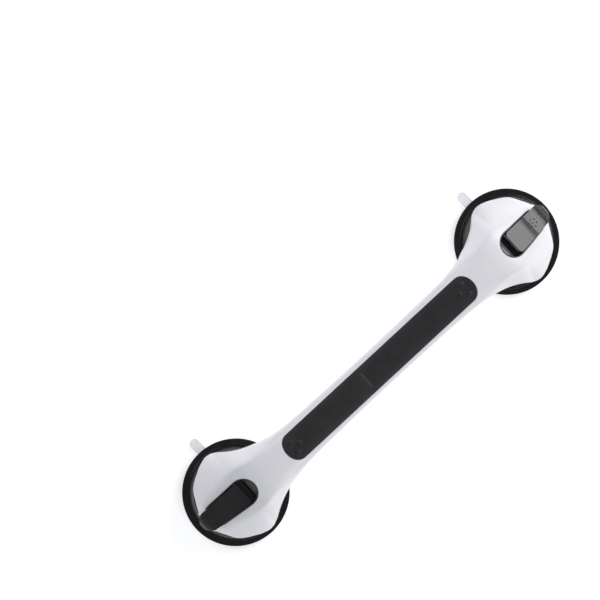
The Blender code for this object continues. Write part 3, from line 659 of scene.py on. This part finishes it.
def shell_side(s, inset, steps):
    """(y, z) points of the shell's section from its crest to its edge, moved in by inset."""
    w = half_width(s) - inset
    top = crest_z(s) - inset
    low = edge_z(s)
    fold_y = min(crease_y(s), CREASE_SHARE * w)
    fold_z = top - crease_drop(s)
    bar = smoothstep(*SHIELD_TO_BAR, s)
    points = []
    for i in range(steps + 1):
        u = i / steps
        if u <= 0.5:
            t = 2 * u
            y, z = fold_y * t, top + (fold_z - top) * t * t
        else:
            t = 2 * u - 1
            y = fold_y + (w - fold_y) * t
            z = fold_z + (low - fold_z) * t ** SIDE_POWER
        a = u * math.pi / 2
        bar_y = w * math.sin(a) ** BAR_ROUNDNESS
        bar_z = low + (top - low) * max(math.cos(a), 0.0) ** BAR_ROUNDNESS
        points.append((y + (bar_y - y) * bar, z + (bar_z - z) * bar))
    return points


def shell_height(s, y):
    side = shell_side(s, 0.0, 40)
    return float(np.interp(abs(y), [p[0] for p in side], [p[1] for p in side]))


def back_side(s, inset, steps):
    """(y, z) points of the back cover's section from its lowest line to its upper edge."""
    w = half_width(s) - inset
    top = edge_z(s) - GAP / math.cos(lean_of(edge_z, s))
    lean = lean_of(underside_z, s)
    low = underside_z(s + inset * math.sin(lean)) + inset * math.cos(lean)
    turn = [i / steps * math.pi / 2 for i in range(steps + 1)]
    across_bar = [w * math.sin(a) ** BAR_ROUNDNESS for a in turn]
    below_edge = [(top - low) * max(math.cos(a), 0.0) ** BAR_ROUNDNESS for a in turn]
    return [(y, top - depth) for y, depth in zip(across_bar, below_edge)]


def across(x, side_points):
    return [(x, -y, z) for y, z in reversed(side_points[1:])] + [(x, y, z) for y, z in side_points]


def stations(first, fine_to, step):
    """x and s of every section from the left end to the right one, close together at the ends."""
    fine = list(np.arange(first, fine_to, step))
    coarse = list(np.arange(fine_to, CUP_X / MM - 1, SECTION_STEP_MM))
    left = [(s * MM - CUP_X, s * MM) for s in fine + coarse]
    return left + [(0.0, CUP_X)] + [(-x, s) for x, s in reversed(left)]


def dish_screw_places():
    return [(s, sign * y) for s, y in DISH_SCREW_AT for sign in (-1, 1)]


def make_handle_shell(material):
    """A wall between two skins, with a slot for each lever, a pocket for the grip and screw bosses."""
    outer, inner = [], []
    steps = 24
    tip, wall_end = TIP_MM, TIP_MM + TIP_WALL_MM
    for x, s in stations(TIP_MM, NECK_END_MM, 1.0):
        outer.append(across(x, shell_side(s, 0.0, steps)))
        inner_s = float(np.interp(s / MM, [tip, wall_end], [tip + SHELL_T / MM, wall_end])) * MM
        inner_s = max(s, inner_s)
        inner_x = math.copysign(CUP_X - inner_s, x) if s < inner_s else x
        inner.append(across(inner_x, shell_side(inner_s, SHELL_T, steps)))
    close_tips(outer, inner)
    shell = hollow_sheet("shell", outer, inner)
    posts, bores = [], []
    for side in SIDES.values():
        slot = [(side * (CUP_X - s), y) for s, y in well_outline(GAP, 32)]
        combine(shell, prism("slot_tool", slot, SLOT_LOW, crest_z(CUP_X) + THROUGH), "DIFFERENCE")
        for s, y in dish_screw_places():
            spot = (side * (CUP_X - s), y)
            top = boss_top(s, y)
            posts.append((post(BOSS_R, DECK_TOP + GAP, top), spot))
            bores.append((post(SCREW_HOLE_R, DECK_TOP - THROUGH, DECK_TOP + DISH_BORE_DEPTH), spot))
    top = crest_z(CUP_X) - GRIP_DEPTH - 3 * GAP
    posts += [(post(BOSS_R, BACK_POST_Z[1] + GAP, top), (x, 0.0)) for x in BACK_SCREW_X]
    bores += [(post(SCREW_HOLE_R, *BACK_BORE_Z), (x, 0.0)) for x in BACK_SCREW_X]
    combine(shell, grip_slab("pocket_tool", GAP, GRIP_DEPTH + 1.2 * GAP, THROUGH, False), "DIFFERENCE")
    combine(shell, turned("boss_tool", posts, 24), "UNION")
    combine(shell, turned("bore_tool", bores, 24), "DIFFERENCE")
    piece(shell, "handle_shell", material, "root")


def boss_top(s, y):
    """Where a boss under the point (s, y) ends, inside the shell's wall all the way round."""
    rim = arc((s, y), BOSS_R, 0, 360, 12)
    return min(shell_height(*point) for point in rim) - SHELL_T / 3


def close_tips(outer, inner):
    """Turns the tips down into end walls by adding a row along the lower edge at each end."""
    low = edge_z(TIP_MM * MM)
    for rows, lean, narrow in ((outer, TIP_LEAN, TIP_NARROW), (inner, INNER_TIP_LEAN, INNER_TIP_NARROW)):
        rows.insert(0, [(x - lean, narrow * y, low) for x, y, z in rows[0]])
        rows.append([(x + lean, narrow * y, low) for x, y, z in rows[-1]])


def grip_half(x, grow):
    """Half width of the grip pad at x, with its rounded ends."""
    end = GRIP_HALF_LENGTH + grow
    reach = GRIP_END + grow
    past = abs(x) - (end - reach)
    if past <= 0:
        return GRIP_HALF_WIDTH + grow
    return (GRIP_HALF_WIDTH + grow) * math.sqrt(max(0.0, 1 - (past / reach) ** GRIP_END_POWER))


def grip_relief(x, y, to_edge):
    """Height of the pad's skin over its plain depth: rounded edge, bumps and the cross line."""
    into = min(to_edge / GRIP_EDGE_R, 1.0)
    height = -GRIP_EDGE_R * 0.8 * (1 - math.sqrt(1 - (1 - into) ** 2))
    for bump_x, bump_y in GRIP_BUMPS:
        away = math.hypot(abs(x) - bump_x * MM, y - bump_y * MM) / GRIP_BUMP_R
        if away < 1:
            height += GRIP_BUMP_H * math.sqrt(1 - away ** 2)
    if abs(x - GRIP_LINE_X) < GRIP_LINE_HALF_WIDTH and abs(y) < GRIP_LINE_HALF_LENGTH:
        height -= GRIP_LINE_DEPTH
    return height


def grip_slab(name, grow, depth, proud, fine):
    """The pad's body, or with grow its pocket: a slab that follows the top of the bar."""
    end = GRIP_HALF_LENGTH + grow
    reach = GRIP_END + grow
    ends = [end - reach * (1 - math.sin(math.radians(a))) for a in np.linspace(86, 4, 24)]
    bumps = list(np.arange(*GRIP_BUMP_SECTIONS) * MM) if fine else []
    line = [-GRIP_LINE_X + d * MM for d in (-0.6, -0.3, 0.3, 0.6)] if fine else []
    right = sorted(set(ends + bumps + line + list(np.arange(*GRIP_PLAIN_SECTIONS) * MM)))
    xs = [-x for x in reversed(right)] + [0.0] + right
    columns = 72 if fine else 16
    top, bottom = [], []
    for x in xs:
        half = grip_half(x, grow)
        ahead, behind = (grip_half(x + step, grow) for step in (0.05 * MM, -0.05 * MM))
        slant = math.hypot(1.0, (ahead - behind) / (0.1 * MM))
        section = shell_side(CUP_X - abs(x), 0.0, 40)
        section_y, section_z = zip(*section)
        top_row, bottom_row = [], []
        for c in range(columns + 1):
            share = math.sin(math.pi / 2 * (2 * c / columns - 1)) if fine else 2 * c / columns - 1
            y = half * share
            z = float(np.interp(abs(y), section_y, section_z))
            skin = grip_relief(x, y, (half - abs(y)) / slant) if fine else 0.0
            top_row.append((x, y, z + proud + skin))
            bottom_row.append((x, y, z - depth))
        top.append(top_row)
        bottom.append(bottom_row)
    return hollow_sheet(name, top, bottom)


def make_grip(material):
    grip = grip_slab("grip", 0.0, GRIP_DEPTH, GRIP_PROUD, True)
    piece(grip, "grip_pad", material, "root", 50)


def make_handle_back(material):
    """A trough along the bar and down to both cups, with a post for each screw."""
    outer, inner = [], []
    steps = 16
    for x, s in stations(BACK_START_MM, NECK_END_MM, 1.5):
        outer.append(across(x, back_side(s, 0.0, steps)))
        inner.append(across(x, back_side(s, BACK_T, steps)))
    cover = hollow_sheet("cover", outer, inner)
    for side in SIDES.values():
        combine(cover, dish_clearance(side), "DIFFERENCE")
    head_r = SCREW_HEAD_R + 2 * GAP
    low, high = BACK_POST_Z[0] - THROUGH, BACK_POST_Z[1] + THROUGH
    bore = [(0, low), (head_r, low), (head_r, BACK_SEAT_Z), (SCREW_HOLE_R, BACK_SEAT_Z),
            (SCREW_HOLE_R, high), (0, high)]
    posts = [(post(BACK_POST_R, *BACK_POST_Z), (x, 0.0)) for x in BACK_SCREW_X]
    combine(cover, turned("cover_post_tool", posts, 32), "UNION")
    combine(cover, turned("cover_bore_tool", [(bore, (x, 0.0)) for x in BACK_SCREW_X], 32), "DIFFERENCE")
    piece(cover, "handle_back", material, "root")


def dish_clearance(side):
    """The outside of a base dish, grown by the assembly gap."""
    outside = [(DISH_R, RIM_TOP), (RIM_INNER_R, RIM_TOP), WALL_FOOT, WALL_HEAD, (DECK_R, DECK_TOP)]
    profile = [(0, -THROUGH), (DISH_R + GAP, -THROUGH)] + [(r + GAP, z + GAP) for r, z in outside]
    profile.append((0, DECK_TOP + GAP))
    return turned("dish_tool", [(profile, (side * CUP_X, 0.0))], 96)


# ---------------------------------------------------------------- screws

def screw_mesh(length):
    """A domed screw with a hexagon socket, head at the bottom, drawn from the origin up."""
    head = [(0, 0), (0.55 * SCREW_HEAD_R, 0), (SCREW_HEAD_R, SCREW_CROWN_H),
            (SCREW_HEAD_R, SCREW_HEAD_H), (SCREW_R, SCREW_HEAD_H)]
    core_r = SCREW_R - THREAD_DEPTH
    profile = filleted(head, 0.35 * MM, 3, False)
    z = SCREW_HEAD_H + 0.6 * MM
    while z < length - 1.0 * MM:
        profile += [(SCREW_R, z), (core_r, z + THREAD_PITCH / 2)]
        z += THREAD_PITCH
    profile += [(core_r, length - 0.5 * MM), (0.4 * MM, length), (0, length)]
    screw = turned("screw", [(profile, (0.0, 0.0))], 24)
    socket = prism("socket_tool", arc((0, 0), SOCKET_R, 0, 360, 6)[:-1], -THROUGH, SOCKET_DEPTH)
    return combine(screw, socket, "DIFFERENCE")


def make_screws(length, spots, material):
    """Copies of one screw at (node, x, y) spots."""
    first = screw_mesh(length)
    for node, x, y in spots:
        screw = bpy.data.objects.new(node, first.data)
        screw.location = (x, y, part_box(node)[0].z)
        bpy.context.scene.collection.objects.link(screw)
        piece(screw, node, material, "root")
    bpy.data.objects.remove(first, do_unlink=True)


# ---------------------------------------------------------------- one end: fixed pieces

def make_base_dish(name, side, material):
    foot_r, foot_z = WALL_FOOT
    head_r, head_z = WALL_HEAD
    under_r, inner_foot = UNDERCUT
    outline = [(DISH_R, DISH_BOTTOM), (DISH_R, RIM_TOP), (RIM_INNER_R, RIM_TOP), (foot_r, foot_z),
               (head_r, head_z), (DECK_R, DECK_TOP), (TOWER_R, DECK_TOP), (TOWER_R, DISH_TOP),
               (STEM_HOLE_R, DISH_TOP), (STEM_HOLE_R, DISH_TOP - DECK_T),
               (TOWER_BORE_R, DISH_TOP - DECK_T), (TOWER_BORE_R, DECK_TOP - DECK_T),
               (head_r - DISH_WALL, DECK_TOP - DECK_T), (foot_r - DISH_WALL, inner_foot),
               (under_r, DISH_BOTTOM)]
    profile = filleted(outline, DISH_EDGE_R, 4)
    dish = turned("dish", [(profile, (side * CUP_X, 0.0))], 144, closed=True)
    hole = post(SCREW_HOLE_R, DECK_TOP - DECK_T - THROUGH, DECK_TOP + THROUGH)
    holes = [(hole, (side * (CUP_X - s), y)) for s, y in dish_screw_places()]
    combine(dish, turned("dish_hole_tool", holes, 24), "DIFFERENCE")
    piece(dish, name + "_base_dish", material, "root")


def well_narrowing(s):
    """0 along the well, rising to 1 at its outer end, where its walls close in on the lever."""
    return smoothstep(*WELL_NARROWS, s)


def well_half(s):
    """Half width of the well's straight part."""
    t = (s - WELL_CENTRE_S) / (WELL_OUTER_S - WELL_CENTRE_S)
    return WELL_R + (WELL_OUTER_HALF - WELL_R) * t - WELL_NARROWS_BY * well_narrowing(s)


def well_outline(grow, steps):
    """Plan of the lever well as (s, y): straight sides and a round inner end."""
    round_end = [(s, y) for y, s in arc((0.0, WELL_CENTRE_S), WELL_R + grow, 0, 180, steps)]
    straight = [(s, well_half(s) + grow) for s in np.linspace(WELL_OUTER_S, WELL_NARROWS[0], 5)]
    straight[0] = (WELL_OUTER_S - grow, straight[0][1])
    return straight + round_end + [(s, -y) for s, y in reversed(straight)]


def trough(half, top, floor, radius):
    """Section of a trough from one lip down, across its floor and up to the other."""
    radius = min(radius, 0.97 * half, 0.97 * (top - floor))
    wall = [(half, top + (floor + radius - top) * i / 6) for i in range(6)]
    corner = arc((half - radius, floor + radius), radius, 0, -90, 10)
    flat = [((half - radius) * (1 - i / 6), floor) for i in range(1, 6)]
    side = wall + corner + flat
    return [(-y, z) for y, z in side] + [(0.0, floor)] + [(y, z) for y, z in reversed(side)]


def make_lever_well(name, side, material):
    """The recess: flat-floored under the lever, and a rounded scoop behind it."""
    rows = []
    for s in np.linspace(WELL_OUTER_S, WELL_CENTRE_S, 36)[:-1]:
        rows.append((s, well_half(s)))
    for a in np.radians(np.linspace(0, 86, 44)):
        rows.append((WELL_CENTRE_S + WELL_R * math.sin(a), WELL_R * math.cos(a)))
    outer, inner = [], []
    under_plate = PLATE_LOW - GAP - WELL_FLOOR_T
    for s, half in rows:
        reach = max(s - WELL_CENTRE_S, 0.0)
        inside = half - WELL_WALL * (1 - 0.5 * well_narrowing(s))
        if reach:
            inside = math.sqrt(max((WELL_R - WELL_WALL) ** 2 - reach ** 2, (0.4 * half) ** 2))
        lip = shell_height(s, inside)
        rim = shell_height(s, half)
        floor = min(well_floor(s), lip - 0.3 * MM)
        behind = well_floor(s - WELL_STEP_BACK) if s > WELL_CENTRE_S else floor
        low = min(floor, behind) - WELL_FLOOR_T
        radius = WELL_CORNER_R + SCOOP_CORNER_R * smoothstep(*SCOOP_STARTS, s)
        x = side * (CUP_X - s)
        inner.append([(x, y, z) for y, z in trough(inside, lip, floor, radius)])
        outer.append([(x, y, z) for y, z in trough(half, rim, low, radius + WELL_WALL)])
    well = hollow_sheet("well", outer, inner)
    hole = post(STEM_HOLE_R, under_plate - THROUGH, PLATE_HIGH)
    combine(well, turned("well_hole_tool", [(hole, (side * CUP_X, 0.0))], 48), "DIFFERENCE")
    piece(well, name + "_lever_well", material, "root")


def make_bearing_plate(name, side, material):
    low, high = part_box(name + "_bearing_plate")
    corners = [(low.x, low.y), (high.x, low.y), (high.x, high.y), (low.x, high.y)]
    plate = prism("plate", filleted(corners, PLATE_CORNER_R, 6), PLATE_LOW, PLATE_HIGH)
    hole = post(PLATE_HOLE_R, PLATE_LOW - THROUGH, PLATE_HIGH + THROUGH)
    combine(plate, turned("plate_hole_tool", [(hole, (side * CUP_X, 0.0))], 48), "DIFFERENCE")
    bevel(plate, lambda e: e.calc_face_angle() > 1.0, 0.2 * MM, 2)
    piece(plate, name + "_bearing_plate", material, "root")


# ---------------------------------------------------------------- one end: moving pieces

def cam_outline(steps):
    """(s, z) points of the cam: an involute, so the stem slides in step with the lever's turn."""
    slope = TRAVEL / LEVER_TURN
    points = []
    for turn in np.linspace(0, LEVER_TURN, steps + 1):
        reach = CAM_LOCKED - GAP - slope * turn
        points.append((reach * math.sin(turn) - slope * math.cos(turn),
                       PIN_Z - reach * math.cos(turn) - slope * math.sin(turn)))
    return points


def lever_outline():
    """Side view of the lever as (s, z): flat top, bent tip, underside, cam and heel."""
    inner, tip = LEVER_INNER_S / MM, LEVER_TIP_S / MM
    top = smooth_curve([(tip + 0.3, 30.0), (-41.2, 31.6), (-39.0, 34.0), (-34.5, 38.0), (-29.2, 41.8),
                        (-18.0, 48.96), (inner, 64.5)])
    under = smooth_curve([(-40.2, 29.6), (-33.5, 35.4), (-29.0, 38.3), (-24.0, 40.3), (-15.0, 45.3),
                          (-8.5, 47.4)])
    top_s = [inner, -10.0, -20.0, -24.0] + list(np.linspace(-27.0, tip + 0.3, 16))
    points = [(s * MM, top(s * MM)) for s in top_s] + [((tip + 0.6) * MM, 28.2 * MM)]
    points += [(s * MM, under(s * MM)) for s in np.linspace(-40.2, -8.5, 16)]
    return points + cam_outline(20) + [(s * MM, z * MM) for s, z in HEEL]


def lever_half(s):
    """Half width of the lever in plan, tapering to a rounded tip."""
    over_pin, near_tip = LEVER_HALF_WIDTH
    round_s = LEVER_TIP_S + LEVER_TIP_LENGTH
    half = float(np.interp(s, [round_s, 0.0], [near_tip, over_pin]))
    into_corner = max(0.0, s - LEVER_INNER_S + LEVER_CORNER_R)
    if into_corner > 0:
        return half - LEVER_CORNER_R + math.sqrt(max(0.0, LEVER_CORNER_R ** 2 - into_corner ** 2))
    past = max(0.0, (round_s - s) / LEVER_TIP_LENGTH)
    return half * math.sqrt(max(0.0, 1 - past * past))


def lever_plan(side, inset):
    """Plan outline of the lever, moved in by inset."""
    round_s = LEVER_TIP_S + LEVER_TIP_LENGTH
    corner_s = LEVER_INNER_S - LEVER_CORNER_R
    s_values = [corner_s + LEVER_CORNER_R * math.cos(a) for a in np.radians(np.linspace(0, 90, 9))]
    s_values += [round_s - LEVER_TIP_LENGTH * math.sin(a) for a in np.radians(np.linspace(0, 90, 22))]
    half = [(s + inset * (s < round_s), lever_half(s) - inset) for s in s_values]
    upper = [(s, h) for s, h in half if h > 0.5 * MM]
    return [(side * (CUP_X - s), y) for s, y in upper + [(s, -h) for s, h in reversed(upper)]]


def top_border(edge):
    """True on the edge between the lever's top and its sides."""
    flat = [f for f in edge.link_faces if f.normal.z > 0.25]
    steep = [f for f in edge.link_faces if abs(f.normal.z) < 0.05]
    high = min(v.co.z for v in edge.verts)
    return len(flat) == 1 and len(steep) == 1 and high > LEVER_LOW_Z and not shut_in(edge)


def shut_in(edge):
    """True on the lever's lower edges, which also join a flat and a steep face."""
    s = CUP_X - abs((edge.verts[0].co.x + edge.verts[1].co.x) / 2)
    z = (edge.verts[0].co.z + edge.verts[1].co.z) / 2
    rise, slope = LEVER_UNDER_LINE
    return z < PIN_Z + rise + slope * s if s > LEVER_BEND_S else z < LEVER_LOW_Z


def cut_into_cells(obj, side):
    """Cuts the lever's top into small cells round the bumps, so that it stays evenly shaded there."""
    bm = bmesh.new()
    bm.from_mesh(obj.data)
    half_pitch = LEVER_BUMP_PITCH / 2
    ends = [row[0] * MM for row in LEVER_BUMP_ROWS]
    for s in np.arange(min(ends) - half_pitch, max(ends) + 2 * half_pitch, half_pitch):
        cut_at(bm, (side * (CUP_X - s), 0, 0), (1, 0, 0))
    for i in range(-4, 4):
        cut_at(bm, (0, (i + 0.5) * half_pitch, 0), (0, 1, 0))
    bm.to_mesh(obj.data)
    bm.free()


def cut_at(bm, point, normal):
    everything = list(bm.verts) + list(bm.edges) + list(bm.faces)
    bmesh.ops.bisect_plane(bm, geom=everything, dist=1e-6, plane_co=point, plane_no=normal)


def lever_bumps(side):
    """Small domes on the lever's top near its tip."""
    outline = sorted(lever_outline()[:20])
    top_s, top_z = zip(*outline)
    spots = []
    for s, count in LEVER_BUMP_ROWS:
        z = float(np.interp(s * MM, top_s, top_z))
        dome = [(LEVER_BUMP_R * math.cos(a), z + LEVER_BUMP_RISE * LEVER_BUMP_R * math.sin(a))
                for a in np.radians(np.linspace(-90, 90, 13))]
        dome = [(max(r, 0.0), h) for r, h in dome]
        ys = [(i - (count - 1) / 2) * LEVER_BUMP_PITCH for i in range(count)]
        spots += [(dome, (side * (CUP_X - s * MM), y)) for y in ys]
    return turned("bump_tool", spots, 20)


def make_lever(name, side, material):
    """The side view cut to the plan, bevelled, and cut for the eye, the pin and a pocket underneath."""
    lever = side_prism("lever", lever_outline(), side, LEVER_BLANK_HALF)
    combine(lever, prism("plan_tool", lever_plan(side, 0.0), *LEVER_BLANK_Z), "INTERSECT")
    bevel(lever, top_border, LEVER_BORDER, 2)
    pin = PIN_Z / MM
    below = LEVER_BLANK_Z[0] / MM
    fork = [(-4.3, below), (9.0, below), (9.0, pin + 3.2), (2.9, pin + 3.2), (1.6, pin + 3.8),
            (0.0, pin + 4.1), (-1.8, pin + 3.7), (-3.4, pin + 2.5), (-4.3, pin + 0.6)]
    fork_tool = side_prism("fork_tool", [(s * MM, z * MM) for s, z in fork], side, FORK_HALF_WIDTH)
    combine(lever, fork_tool, "DIFFERENCE")
    pocket = [(s * MM, z * MM) for s, z in POCKET]
    tool = side_prism("pocket_tool", pocket, side, LEVER_BLANK_HALF)
    combine(tool, prism("pocket_plan_tool", lever_plan(side, LEVER_WALL), *LEVER_BLANK_Z), "INTERSECT")
    combine(lever, tool, "DIFFERENCE")
    round_hole = arc((0.0, PIN_Z), PIN_HOLE_R, 0, 360, 40)[:-1]
    bore = side_prism("bore_tool", round_hole, side, LEVER_BLANK_HALF + THROUGH)
    combine(lever, bore, "DIFFERENCE")
    cut_into_cells(lever, side)
    combine(lever, lever_bumps(side), "UNION")
    piece(lever, name + "_lever", material, name + "_lever", 24)


def make_lever_pin(name, side, material):
    pin = side_prism("pin", arc((0.0, PIN_Z), PIN_R, 0, 360, 40)[:-1], side, PIN_HALF)
    bevel(pin, lambda e: e.calc_face_angle() > 1.0, 0.3 * MM, 2)
    piece(pin, name + "_lever_pin", material, name + "_stem")


def make_pull_stem(name, side, material):
    flange_low = CORE_HIGH + GAP
    flange = filleted([(STEM_R, flange_low), (FLANGE_R, flange_low), (FLANGE_R, flange_low + FLANGE_T),
                       (STEM_R, flange_low + FLANGE_T)], 0.4 * MM, 4, False)
    profile = [(0, STEM_LOW), (STEM_R - STEM_END_CHAMFER, STEM_LOW), (STEM_R, STEM_LOW + STEM_END_CHAMFER)]
    profile += flange + [(STEM_R, PIN_Z), (0, PIN_Z)]
    stem = turned("stem", [(profile, (side * CUP_X, 0.0))], 48)
    eye = side_prism("eye_tool", arc((0.0, PIN_Z), EYE_R, 0, 360, 48)[:-1], side, EYE_HALF_WIDTH)
    bevel(eye, lambda e: e.calc_face_angle() > 1.0, 0.4 * MM, 2)
    combine(stem, eye, "UNION")
    round_hole = arc((0.0, PIN_Z), PIN_HOLE_R, 0, 360, 48)[:-1]
    hole = side_prism("eye_hole_tool", round_hole, side, EYE_HALF_WIDTH + THROUGH)
    combine(stem, hole, "DIFFERENCE")
    piece(stem, name + "_pull_stem", material, name + "_stem")


def make_cup_core(name, side, material):
    bore = STEM_R + GAP
    outline = [(CORE_R, CORE_LOW), (CORE_R, CORE_HIGH), (bore, CORE_HIGH), (bore, CORE_LOW)]
    core = turned("core", [(filleted(outline, 0.5 * MM, 4), (side * CUP_X, 0.0))], 72, closed=True)
    piece(core, name + "_cup_core", material, name + "_stem")


def make_return_spring(name, side, material):
    """A coil spring round the stem, between the core and the top of the tower."""
    low = SPRING_LOW + SPRING_WIRE_R
    high = SPRING_HIGH - SPRING_WIRE_R
    steps = SPRING_TURNS * 36
    rings = []
    for i in range(steps + 1):
        a = 2 * math.pi * SPRING_TURNS * i / steps
        z = low + (high - low) * i / steps
        wire = arc((SPRING_R, z), SPRING_WIRE_R, 0, 360, 12)[:-1]
        rings.append([(side * CUP_X + r * math.cos(a), r * math.sin(a), up) for r, up in wire])
    spring = piece(loft("spring", rings), name + "_return_spring", material, None)
    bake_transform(spring)


def make_suction_cup(name, side, material):
    """The soft disc: a flat sealing ring, a raised middle and the tab that breaks the seal."""
    under = [(CONTACT_R * i / 16, DOME_Z * math.cos(math.pi * i / 32) ** 2) for i in range(17)]
    rim = filleted([(CONTACT_R, 0.0), (CUP_R, 0.0), (CUP_R, CUP_RIM_T), (CONTACT_R, CUP_RIM_T)],
                   0.5 * MM, 4, False)
    top = []
    for i in range(1, 13):
        r = CONTACT_R + (CORE_R - CONTACT_R) * i / 12
        top.append((r, CUP_RIM_T + (CUP_TOP - CUP_RIM_T) * smoothstep(0, 1, i / 12)))
    profile = under[:-1] + rim + top + [(0, CUP_TOP)]
    cup = turned("cup", [(profile, (side * CUP_X, 0.0))], 144)
    tab = tab_outline(side, 0.0, TAB_ROOT_Y)
    tab_body = prism("tab_tool", tab, *TAB_Z)
    bevel(tab_body, lambda e: e.calc_face_angle() > 1.0, 0.3 * MM, 3)
    combine(cup, tab_body, "UNION")
    dish_plan = tab_outline(side, TAB_EDGE, CUP_R + TAB_EDGE)
    dished = prism("tab_dish_tool", dish_plan, TAB_Z[1] - TAB_DISH, TAB_Z[1] + THROUGH)
    combine(cup, dished, "DIFFERENCE")
    cup = piece(cup, name + "_suction_cup", material, None)
    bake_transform(cup)


def tab_outline(side, inset, from_y):
    """Plan of a tab: straight sides and a round tip."""
    half = TAB_HALF_WIDTH - inset
    tip = arc((TAB_S, TAB_TIP_Y - TAB_HALF_WIDTH), half, 0, 180, 24)
    outline = tip + [(TAB_S - half, from_y), (TAB_S + half, from_y)]
    return [(side * (CUP_X - s), y) for s, y in outline]


# ---------------------------------------------------------------- the whole grab bar

def make_end(name, side, looks):
    make_base_dish(name, side, looks["base"])
    make_lever_well(name, side, looks["recess"])
    make_bearing_plate(name, side, looks["steel"])
    make_suction_cup(name, side, looks["tpu"])
    make_cup_core(name, side, looks["nylon"])
    make_return_spring(name, side, looks["steel"])
    make_pull_stem(name, side, looks["steel"])
    make_lever_pin(name, side, looks["steel"])
    make_lever(name, side, looks["gloss"])


def build():
    make_camera()
    make_studio()
    looks = {"shell": white_shell(), "grip": grip_rubber(), "base": black_base(), "gloss": black_gloss(),
             "recess": recess_painted_reflection(), "tpu": clear_tpu(), "steel": steel(), "nylon": nylon()}
    make_handle_shell(looks["shell"])
    make_grip(looks["grip"])
    make_handle_back(looks["shell"])
    for name, side in SIDES.items():
        make_end(name, side, looks)
    backs = [(f"back_screw_{n + 1}", x, 0.0) for n, x in enumerate(BACK_SCREW_X)]
    make_screws(BACK_SCREW_LENGTH, backs, looks["steel"])
    dishes = [(f"{name}_dish_screw_{n + 1}", side * (CUP_X - s), y)
              for name, side in SIDES.items() for n, (s, y) in enumerate(dish_screw_places())]
    make_screws(DISH_SCREW_LENGTH, dishes, looks["steel"])


build()
